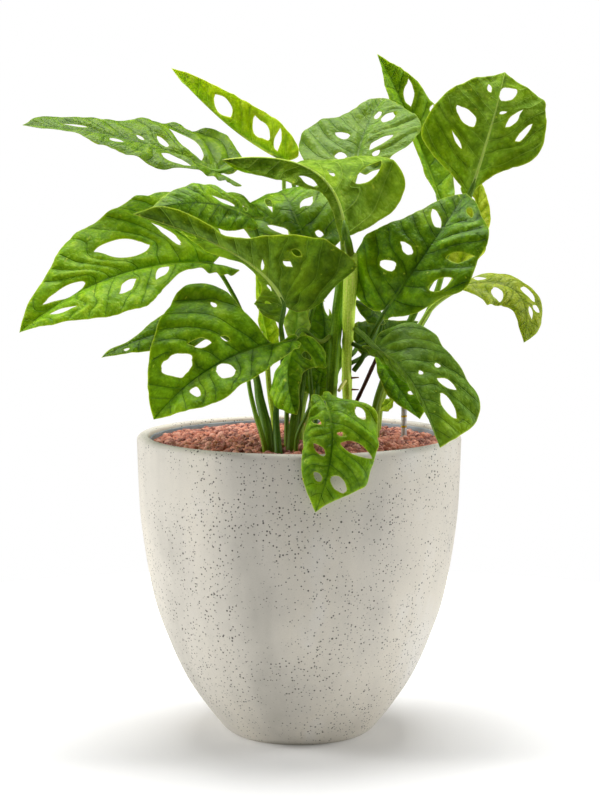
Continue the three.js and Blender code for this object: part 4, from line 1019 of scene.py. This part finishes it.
def leaf_finish(name, colors, specular, rough, pale_veins):
    """Patches of three greens with painted shade in the relief's valleys and painted highlight on its
    ridges, with yellower areas, flecks, veins and their net.
    """
    dark, middle, light = colors
    look = Look(name, Specular_IOR_Level=specular, Subsurface_Weight=0.6, Subsurface_Scale=LEAF_DEPTH,
                Subsurface_Radius=LEAF_REACH)
    along, out, depth = look.layer("leaf")
    vein, u, unused = look.layer("vein")
    height, gain, number = look.layer("shade")
    flat = look.vector(along, out, 0.0)
    reach = look.range(depth, 0.5, 4.0)
    beside = look.times(look.math("ABSOLUTE", look.math("SUBTRACT", look.math("FRACT", vein), 0.5)), 2.0)
    side = look.times(look.range(beside, 0.9, 0.985), reach)
    halo = look.times(look.range(beside, 0.4, 1.0), reach)
    shift = look.join("MULTIPLY", look.noise(flat, 0.2, output="Color"), (3.4, 3.4, 0))
    bent = look.join("ADD", flat, shift)
    coarse, fine = [look.cells(bent, scale, "DISTANCE_TO_EDGE")["Distance"] for scale in (0.2, 0.46)]
    bulge = look.range(coarse, 0.0, 0.42)
    rib_width = look.range(u, 0.0, 1.0, 1.5, 0.45, False)
    rib = look.range(look.math("DIVIDE", look.math("ABSOLUTE", out), rib_width), 0.5, 1.1, 1.0, 0.0)

    patches = look.times(look.noise(flat, 0.09, 3.0, 0.6), 0.68)
    mottle = look.noise(flat, 0.5, 2.0, 0.6)
    # Painted shade and highlight: the relief height darkens the greens in the valleys and lightens them on
    # the ridges.
    share = look.math("MULTIPLY_ADD", mottle, 0.18, look.math("MULTIPLY_ADD", height, 0.11, patches))
    color = look.ramp(share, (0.3, dark), (0.5, middle), (0.7, light))

    def paint(share, over):
        return look.mix(share, color, srgb(*over))

    broad = look.noise(look.vector(along, out, number), 0.03)
    color = paint(look.range(broad, 0.5, 0.74, 0.0, 0.35), YELLOW_COLOR)
    color = paint(look.times(bulge, 0.16), light)
    color = paint(look.range(coarse, 0.0, 0.16, 0.16, 0.0), dark)
    color = paint(look.range(fine, 0.0, 0.12, 0.08, 0.0), dark)
    color = paint(look.times(halo, 0.14), dark)
    color = paint(look.times(side, 0.6), light if pale_veins else dark)
    if pale_veins:
        color = paint(look.times(rib, look.range(u, 0.2, 1.0, 0.9, 0.5)), RIB_COLOR)
    else:
        color = paint(look.times(rib, look.range(u, 0.0, 0.5, 0.2, 0.7)), dark)
        color = paint(look.times(rib, look.range(u, 0.05, 0.45, 0.8, 0.0)), light)
    color = paint(look.range(look.noise(look.place(), 130.0, 2.0, 0.6), 0.68, 0.76, 0.0, 0.5), FLECK_COLOR)
    color = paint(look.range(depth, 0.1, 0.8, 0.45, 0.0), EDGE_COLOR)
    # Painted light and shade: each leaf's gain makes it lighter or darker, partly for its own tone.
    gain = look.times(gain, GREEN_GAIN)
    look.set("Base Color", look.mix(1.0, color, look.vector(gain, gain, gain), "MULTIPLY"))
    look.set("Roughness", look.range(mottle, 0.3, 0.7, *rough, False))
    grain = look.times(look.noise(flat, 0.9, 2.0, 0.6), 0.05)
    fields = look.math("MULTIPLY_ADD", bulge, 0.5, grain)
    look.bump(look.math("MULTIPLY_ADD", side, 0.9 if pale_veins else -0.7, fields), 0.8, 0.0009)
    return look.material


def stem_finish(name, dark, middle, light, foot=None):
    """A smooth stem with long pale streaks and fine cross marks."""
    look = Look(name, Specular_IOR_Level=0.22)
    run, around, unused = look.layer("leaf")
    unused, share, seed = look.layer("vein")
    streak_place = look.vector(look.times(run, 0.02), around, seed)
    streaks = look.times(look.noise(streak_place, 0.9, 3.0, 0.6), 0.7)
    spots = look.noise(look.vector(run, around, seed), 0.5)
    lightness = look.math("MULTIPLY_ADD", spots, 0.3, streaks)
    color = look.ramp(lightness, (0.32, dark), (0.5, middle), (0.68, light))
    if foot is not None:
        color = look.mix(look.range(share, 0.55, 0.95, 0.0, 0.8), color, srgb(*foot))
    look.set("Base Color", look.mix(1.0, color, (GREEN_GAIN, GREEN_GAIN, GREEN_GAIN, 1), "MULTIPLY"))
    look.set("Roughness", look.range(spots, 0.3, 0.7, 0.36, 0.55, False))
    look.bump(look.noise(streak_place, 1.6), 0.4, 0.0006)
    return look.material


def pot_finish():
    """Cast composite: soft upright streaks and clouds, fine grain, and crowds of dark pores."""
    look = Look("pot_composite", Specular_IOR_Level=0.3)
    place = look.place()
    streaks = look.noise(look.join("MULTIPLY", place, (11.0, 11.0, 1.3)), 1.0, 4.0, 0.55)
    clouds = look.noise(place, 7.0, 4.0, 0.6)
    share = look.math("MULTIPLY_ADD", streaks, 0.6, look.times(clouds, 0.4))
    color = look.ramp(share, (0.34, (188, 184, 174)), (0.46, (211, 206, 195)), (0.56, (222, 216, 203)),
                      (0.68, (230, 227, 220)))
    grain = look.noise(place, 900.0, 2.0, 0.7)
    color = look.mix(look.range(grain, 0.35, 0.7, 0.0, 0.12), color, srgb(150, 147, 138))
    crowd = look.range(look.noise(place, 16.0), 0.32, 0.54)

    def pores(scale, smallest, largest, rarity):
        near = look.cells(place, scale)
        size = look.times(look.range(look.parts(near["Color"])[0], rarity, 1.0, 0.0, 1.0, False), crowd)
        reach = look.range(size, 0.0, 1.0, smallest, largest, False)
        soft = look.math("SUBTRACT", 1.0, look.math("DIVIDE", near["Distance"], reach))
        return look.times(look.range(soft, 0.0, 0.55), look.math("GREATER_THAN", size, 0.02))

    pits = look.math("MAXIMUM", pores(320.0, 0.14, 0.4, 0.12), pores(120.0, 0.08, 0.18, 0.4))
    look.set("Base Color", look.mix(look.times(pits, 0.92), color, srgb(60, 57, 50)))
    look.set("Roughness", look.range(clouds, 0.3, 0.7, 0.7, 0.86, False))
    look.bump(look.math("SUBTRACT", look.times(grain, 0.1), pits), 0.6, 0.0006)
    return look.material


def pebble_finish(name, *stops):
    look = Look(name, Specular_IOR_Level=0.25)
    place = look.place()
    dust = look.noise(place, 420.0, 3.0, 0.6)
    color = look.mix(look.range(dust, 0.4, 0.7, 0.0, 0.6), look.ramp(look.layer("tint")[0], *stops),
                     srgb(238, 188, 168))
    color = look.mix(look.range(look.noise(place, 260.0), 0.5, 0.7, 0.0, 0.4), color, srgb(88, 46, 40))
    look.set("Base Color", color)
    look.set("Roughness", look.range(dust, 0.3, 0.7, 0.75, 0.95, False))
    pits = look.range(look.cells(place, 900.0)["Distance"], 0.0, 0.4)
    look.bump(look.math("ADD", pits, dust), 0.5, 0.0006)
    return look.material


def liner_finish():
    look = Look("liner_plastic", Specular_IOR_Level=0.4)
    grain = look.noise(look.place(), 1400.0, 2.0, 0.6)
    look.set("Base Color", look.ramp(look.noise(look.place(), 30.0, 3.0, 0.6), (0.35, (118, 130, 138)),
                                     (0.65, (150, 161, 168))))
    look.set("Roughness", look.range(grain, 0.3, 0.7, 0.42, 0.58, False))
    look.bump(grain, 0.25, 0.0002)
    return look.material


def clear_finish(name, tint, clear):
    look = Look(name, Transmission_Weight=clear, IOR=1.46, Specular_IOR_Level=0.5, Subsurface_Weight=0.7,
                Subsurface_Scale=0.005, Subsurface_Radius=(1, 1, 1))
    haze = look.noise(look.place(), 260.0)
    look.set("Base Color", look.mix(look.range(haze, 0.4, 0.7), srgb(*tint), srgb(232, 234, 236)))
    look.set("Roughness", look.range(haze, 0.3, 0.7, 0.04, 0.2, False))
    return look.material


def gloss_finish(name, shade, color):
    look = Look(name, Specular_IOR_Level=0.5, Coat_Weight=0.3, Coat_Roughness=0.1)
    patches = look.noise(look.place(), 300.0)
    look.set("Base Color", look.ramp(patches, (0.35, shade), (0.65, color)))
    look.set("Roughness", look.range(patches, 0.3, 0.7, 0.2, 0.34, False))
    return look.material


def floor_finish():
    """White paper that glows away from the pot, so that its edge does not show."""
    look = Look("floor_paper", Specular_IOR_Level=0.2, Roughness=0.8, Emission_Color=(1, 1, 1, 1))
    place = look.place()
    look.set("Base Color", look.ramp(look.noise(place, 3.0), (0.3, (242, 242, 241)), (0.7, (246, 246, 245))))
    distance = look.node("VectorMath", place, operation="LENGTH").outputs["Value"]
    look.set("Emission Strength", look.range(distance, 0.12, 0.8, 0.05, 0.8))
    return look.material


# Pieces

def finished(piece, node, slot):
    """Puts a piece in place of a CAD node, on the part's one body."""
    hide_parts(node)
    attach(piece, "root")


def make_leaves():
    finishes = {}
    for tone in sorted({leaf["tone"] for leaf in LEAVES.values()}):
        colors = LEAF_TONES[tone]
        finishes[tone] = [leaf_finish(f"leaf_upper_{tone}", colors[:3], 0.13, (0.38, 0.5), False),
                          leaf_finish(f"leaf_under_{tone}", colors[3:], 0.08, (0.54, 0.68), True),
                          stem_finish(f"petiole_{tone}", *PETIOLE_TONES[tone])]
    for seed, (name, leaf) in enumerate(LEAVES.items()):
        surface = LeafSurface(leaf)
        parts = Parts("leaf", "vein", "shade")
        parts.add(*blade(leaf, surface, seed))
        points, faces, layers = petiole(leaf, surface, seed)
        parts.add(points, faces, 2, layers)
        finished(parts.make(f"fine_leaf_{name}", finishes[leaf["tone"]]), f"leaf_{name}", "leaf_green")


def make_stalks():
    finish = {name: stem_finish(name, *tones) for name, tones in STALK_TONES.items()}
    main = {"stalk_dead": "stalk_dry", "stalk_right": "stalk_bright", "stalk_left": "stalk_green"}
    for seed, (name, stalk) in enumerate(STALKS.items()):
        parts = Parts("leaf", "vein")

        def add(path, radius, sides, girth, kind):
            points, faces, run, turn = tube(path, radius, sides)
            parts.add(points, faces, kind, stem_layers(run, turn, girth, seed))

        path = resample(catmull_path(rooted([np.array(p, float) for p in stalk["path"]]), 16), 2.0)
        along = run_length(path)
        rings = 1 + 0.04 * noise(columns(along, 0, seed), 18, seed)
        for height in stalk["nodes"]:
            above = path[:, 2] - height
            past = above - STALK_NODE["above"]
            rings += STALK_NODE["swell"] * np.exp(-(above / STALK_NODE["width"]) ** 2)
            rings -= STALK_NODE["neck"] * np.exp(-(past / STALK_NODE["neck_width"]) ** 2)
        angles = turns(STALK_SIDES)
        ribs = 0.98 + 0.035 * np.cos(angles * 5 + seed) + 0.02 * np.cos(angles * 9)
        thick = radius_along(stalk["thick"], along / along[-1])
        add(path, (thick * rings)[:, None] * ribs, STALK_SIDES, thick.max(), 0)
        for knots, root_radius, tip_radius in stalk["shoots"]:
            side = resample(catmull_path(knots, 8), 1.0)
            length = run_length(side)
            narrow = root_radius + (tip_radius - root_radius) * length / length[-1]
            narrow = narrow * (1 + 0.12 * noise(columns(length, length, length), 2.0, seed))
            add(side, narrow, SHOOT_SIDES, root_radius, 2 if root_radius > 2 else 1)
        piece = parts.make(f"fine_{name}", [finish[key] for key in (main[name], "aerial_root", "torn_stub")])
        finished(piece, name, "stalk_dry" if name == "stalk_dead" else "stalk_green")


def wall_radius(wall, height):
    return float(np.interp(height, wall[:, 1], wall[:, 0]))


def outer_wall():
    return catmull_even(POT_CURVE, POT_STEPS)


def inner_radius(height):
    """The radius of the pot's inside, whose wall is straight between its levels."""
    wall = outer_wall()
    radii = [wall_radius(wall, level) - POT_WALL for level in INSIDE_LEVELS]
    return float(np.interp(height, INSIDE_LEVELS, radii))


def make_pot():
    wall = outer_wall()
    rim = wall_radius(wall, POT_HEIGHT - POT_LIP)
    inner = [(inner_radius(h), h) for h in np.linspace(POT_FLOOR, POT_HEIGHT - POT_EDGE, 14)][::-1]
    lip = [(rim + POT_LIP * (math.cos(a) - 1), POT_HEIGHT + POT_LIP * (math.sin(a) - 1))
           for a in np.radians([15, 30, 45, 60, 75, 90])]
    edge = [(inner[0][0] + POT_EDGE * (1 - math.cos(a)), POT_HEIGHT + POT_EDGE * (math.sin(a) - 1))
            for a in np.radians([90, 65, 40, 15])]
    foot = [(radius, 0) for radius in (0, *POT_FOOT)]
    profile = [*foot, *wall, *lip, *edge, *inner, (40, POT_FLOOR), (0, POT_FLOOR)]
    points, faces = turned(profile, POT_SIDES)
    swell = sum(noise(points, size, seed) * height for size, height, seed in POT_SWELLS)
    swell = swell * smooth(2, 12, points[:, 2])
    out = points * [1, 1, 0]
    points = points + out / np.maximum(np.linalg.norm(out, axis=1, keepdims=True), 1) * swell[:, None]
    points[:, 2] += 0.2 * noise(points, 30, 5) * smooth(POT_HEIGHT - 3, POT_HEIGHT, points[:, 2])
    finished(make_piece("fine_planter_pot", points, faces, [pot_finish()]), "planter_pot", "pot_composite")


def make_liner():
    levels = np.linspace(LINER_FLOOR, LINER_TOP, 24)
    outside = [(inner_radius(h) - LINER_GAP, h) for h in levels]
    inner = [(radius - LINER_WALL, h) for radius, h in outside[:0:-1]]
    floor = LINER_FLOOR + LINER_WALL
    corner = (inner_radius(floor) - LINER_GAP - LINER_WALL, floor)
    profile = rounded([(0, LINER_FLOOR), *outside, *inner, corner, (0, floor)], 0.8)
    piece = make_piece("fine_planter_liner", *turned(profile, POT_SIDES), [liner_finish()])
    finished(piece, "planter_liner", "liner_plastic")


def ball(rings=5, sides=8):
    """A unit ball as rings of points between two poles, each ring turned half a step on the last."""
    points, faces = [(0, 0, 1)], []
    for i in range(1, rings):
        angle = math.pi * i / rings
        for j in range(sides):
            turn = 2 * math.pi * (j + 0.5 * (i % 2)) / sides
            x, y = math.sin(angle) * math.cos(turn), math.sin(angle) * math.sin(turn)
            points.append((x, y, math.cos(angle)))
    last = len(points)
    points.append((0, 0, -1))
    for j, k in neighbours(sides):
        faces += [[0, 1 + j, 1 + k], [last, last - sides + k, last - sides + j]]
    for i in range(rings - 2):
        for j, k in neighbours(sides):
            a, b = 1 + i * sides + j, 1 + i * sides + k
            c, d = a + sides, b + sides
            faces += [[a, c, b], [b, c, d]] if i % 2 else [[a, c, d], [a, d, b]]
    return np.array(points, float), np.array(faces)


def stem_feet():
    """Where stems and the gauge go into the granules, and how thick they are there."""
    stems = [(leaf["stem"][-1], np.max(leaf["thick"]) * 1.15) for leaf in LEAVES.values()]
    feet = [(x, y, radius) for (x, y, z), radius in stems if z < STEM_FOOT]
    feet += [(*stalk["path"][-1][:2], stalk["thick"][-1] * 1.1) for stalk in STALKS.values()]
    return np.array([*feet, (*GAUGE_PLACE, COLLAR["radius"])])


def pebble_places(rng, wall, feet, spacing, sizes):
    """Uneven rows of pebbles (x, y, radius) inside the wall and clear of the stems."""
    row = spacing * math.sin(math.pi / 3)
    rows, across = int(wall / row) + 1, int(wall / spacing) + 1
    kept = []
    for j in range(-rows, rows + 1):
        for i in range(-across, across + 1):
            x = (i + 0.5 * (j % 2)) * spacing + rng.uniform(-PEBBLE_SHIFT, PEBBLE_SHIFT) * spacing
            y = j * row + rng.uniform(-PEBBLE_SHIFT, PEBBLE_SHIFT) * spacing
            usual = rng.random() < PEBBLE_USUAL
            size = rng.uniform(*sizes) if usual else rng.uniform(sizes[1], sizes[1] * PEBBLE_LARGE)
            reach, limit = math.hypot(x, y), wall - size - 0.4
            if reach > wall + 0.2 * spacing:
                continue
            if reach > limit:
                x, y = x / reach * limit, y / reach * limit
            gap = np.hypot(feet[:, 0] - x, feet[:, 1] - y) - feet[:, 2]
            if gap.min() >= size * 0.75:
                kept.append((x, y, size))
    return kept


def pebble(rng, shape, size):
    """A dented and flattened ball in a turned position, some with one flat side, and whether its
    faces are turned inside out."""
    stretch = np.array([1, rng.uniform(0.78, 1.0), rng.uniform(0.72, 0.95)]) * size
    turn = np.linalg.qr(rng.normal(size=(3, 3)))[0]
    dents = 1 + PEBBLE_DENT * noise(shape + rng.uniform(0, 90, 3), 0.7, 11)
    points = (shape * dents[:, None] * stretch) @ turn.T
    if rng.random() < PEBBLE_CUT:
        cut = unit(rng.normal(size=3))
        high = (points - points.mean(axis=0)) @ cut - 0.45 * size
        points = points - np.outer(np.maximum(high, 0), cut)
    return points, np.linalg.det(turn) < 0


def make_granules():
    """Two layers of loose pebbles on a core painted dark as the shade between deeper pebbles."""
    rng = np.random.default_rng(7)
    wall = inner_radius(BED_TOP) - LINER_GAP - LINER_WALL
    feet = stem_feet()
    shape, shape_faces = ball()
    finish = pebble_finish("baked_clay", (0.0, (104, 58, 54)), (0.25, (150, 88, 76)), (0.5, (196, 118, 94)),
                           (0.75, (220, 144, 116)), (1.0, (226, 168, 148)))
    for name, (spacing, drop, sizes, lift) in PEBBLE_LAYERS.items():
        parts = Parts("tint")
        for x, y, size in pebble_places(rng, wall, feet, spacing, sizes):
            ground = BED_TOP + BED_MOUND * max(0, 1 - (x * x + y * y) / wall ** 2)
            z = ground + drop + rng.uniform(*lift)
            points, flipped = pebble(rng, shape, size)
            faces = shape_faces[:, ::-1] if flipped else shape_faces
            tints = [(rng.uniform(0, 1), 0, 0)] * len(points)
            parts.add(points + [x, y, z], faces.tolist(), 0, {"tint": tints})
        piece = parts.make(name, [finish])
        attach(piece, "root")
        if name == "pebbles_top":
            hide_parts("granule_bed")

    floor = LINER_FLOOR + LINER_WALL + LINER_GAP
    edge = BED_TOP - CORE_DROP
    side = [(inner_radius(h) - LINER_WALL - 2 * LINER_GAP, h) for h in np.linspace(floor, edge, 18)]
    top = [(r, edge + CORE_RISE * (1 - (r / wall) ** 2)) for r in np.linspace(wall - 6, 6, 24)]
    points, faces = turned([(0, floor), *side, *top, (0, edge + CORE_RISE)], CORE_SIDES)
    points[:, 2] += 1.6 * noise(points, 7, 21) * smooth(edge - 1, edge + 1, points[:, 2])
    tint = columns(0.5 + 0.5 * noise(points, 6, 22), 0, 0)
    # Painted shade: the core's browns are the dark of the shade between deeper pebbles.
    finish = pebble_finish("shaded_clay", (0.0, (40, 22, 18)), (1.0, (70, 38, 30)))
    core = make_piece("pebbles_core", points, faces, [finish], {"tint": tint})
    finished(core, "granule_bed", "clay_granules")


def make_gauge():
    clear = clear_finish("gauge_clear", (240, 240, 241), 0.1)
    cap_clear = clear_finish("gauge_cap_clear", (224, 230, 238), 0.3)
    red = gloss_finish("float_red", (204, 44, 20), (150, 24, 12))
    yellow = gloss_finish("mark_yellow", (226, 196, 40), (196, 160, 30))
    bore = GAUGE_RADIUS - GAUGE_WALL
    slim = bore - GAUGE_GAP
    floor = GAUGE_BOTTOM + GAUGE_WALL
    tube_profile = [(0, GAUGE_BOTTOM), *((GAUGE_RADIUS, h) for h in (GAUGE_BOTTOM, GAUGE_MIDDLE, GAUGE_TOP)),
                    *((bore, h) for h in (GAUGE_TOP, GAUGE_MIDDLE, floor)), (0, floor)]
    low, top = floor + GAUGE_GAP, FLOAT["level"]
    float_profile = [(0, low), (FLOAT["rod"], low), (FLOAT["rod"], top - FLOAT["height"]),
                     (slim, top - FLOAT["height"]), (slim, top - FLOAT["bevel"]),
                     (slim - FLOAT["bevel"], top), (0, top)]
    seat = GAUGE_TOP + GAUGE_GAP
    cap_profile = [(0, seat - CAP["plug"]), (slim, seat - CAP["plug"]), (slim, seat), (CAP["radius"], seat),
                   (CAP["radius"], seat + CAP["side"]), (CAP["crown"], seat + CAP["height"]),
                   (0, seat + CAP["height"])]
    for node, profile, edge, finish, slot in (("gauge_tube", tube_profile, 0.3, clear, "gauge_clear"),
                                              ("gauge_float", float_profile, 0.4, red, "float_red"),
                                              ("gauge_cap", cap_profile, 0.4, cap_clear, "gauge_clear")):
        points, faces = turned(rounded(profile, edge), GAUGE_SIDES, GAUGE_PLACE)
        finished(make_piece(f"fine_{node}", points, faces, [finish]), node, slot)

    inner = GAUGE_RADIUS + GAUGE_GAP
    loop = [(inner, COLLAR["bottom"]), (COLLAR["radius"], COLLAR["bottom"]),
            (COLLAR["radius"], COLLAR["step"]), (COLLAR["neck"], COLLAR["top"]), (inner, COLLAR["top"])]
    points, faces = turned(loop, GAUGE_SIDES, GAUGE_PLACE, ring=True)
    finished(make_piece("fine_gauge_collar", points, faces, [cap_clear]), "gauge_collar", "gauge_clear")

    inner, outer = GAUGE_RADIUS - 0.15, GAUGE_RADIUS + 0.12
    for name, height in GAUGE_MARKS.items():
        low, top = height - MARK_HALF, height + MARK_HALF
        loop = [(inner, low), (outer, low), (outer + 0.05, height), (outer, top), (inner, top)]
        points, faces = turned(loop, GAUGE_SIDES, GAUGE_PLACE, ring=True)
        mark = make_piece(name, points, faces, [yellow])
        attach(mark, "root")


# Studio

def make_floor():
    """A disc of rings, finer near the pot, whose middle is closed by a fan."""
    radii = np.geomspace(FLOOR_RADIUS, 0.05, 24)[:, None] / MM
    angles = turns(FLOOR_SIDES)
    rings = np.stack([radii * np.cos(angles), radii * np.sin(angles), 0 * radii * angles], axis=-1)
    rings = rings.reshape(-1, 3)
    middle, base = len(rings), len(rings) - FLOOR_SIDES
    faces = ring_faces(len(radii), FLOOR_SIDES)
    faces += [[middle, base + j, base + k] for j, k in neighbours(FLOOR_SIDES)]
    floor = make_piece("floor", np.concatenate([rings, [(0, 0, 0)]]), faces, [floor_finish()])
    floor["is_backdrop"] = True


def make_lamps():
    for name, (place, aim, size, power) in LAMPS.items():
        lamp = bpy.data.lights.new(name, "AREA")
        lamp.shape = "RECTANGLE"
        lamp.size, lamp.size_y = size
        lamp.energy = power
        holder = bpy.data.objects.new(name, lamp)
        bpy.context.scene.collection.objects.link(holder)
        holder.location = place
        way = np.array(aim, float) - place
        lean = math.atan2(way[2], math.hypot(way[0], way[1]))
        holder.rotation_euler = (math.pi / 2 + lean, 0, -math.atan2(way[0], way[1]))


def make_world():
    """White where the camera looks past the object, and a faint even light on it."""
    world = bpy.data.worlds.new("studio")
    world.use_nodes = True
    tree = world.node_tree
    ray = tree.nodes.new("ShaderNodeLightPath")
    strength = tree.nodes.new("ShaderNodeMapRange")
    strength.inputs["To Min"].default_value = WORLD_LIGHT
    tree.links.new(ray.outputs["Is Camera Ray"], strength.inputs["Value"])
    background = tree.nodes["Background"]
    background.inputs["Color"].default_value = (1, 1, 1, 1)
    tree.links.new(strength.outputs["Result"], background.inputs["Strength"])
    bpy.context.scene.world = world
    bpy.context.scene.view_settings.view_transform = "Standard"


def make_camera():
    data = bpy.data.cameras.new("camera")
    data.lens = CAMERA_LENS
    data.sensor_width = CAMERA_SENSOR
    data.dof.use_dof = False
    camera = bpy.data.objects.new("camera", data)
    bpy.context.scene.collection.objects.link(camera)
    camera.location = [value * MM for value in CAMERA_PLACE]
    camera.rotation_euler = (math.radians(90 + CAMERA_PITCH), 0, 0)
    bpy.context.scene.camera = camera


make_camera()
make_floor()
make_lamps()
make_world()
make_pot()
make_liner()
make_granules()
make_gauge()
make_stalks()
make_leaves()

seen_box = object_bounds()
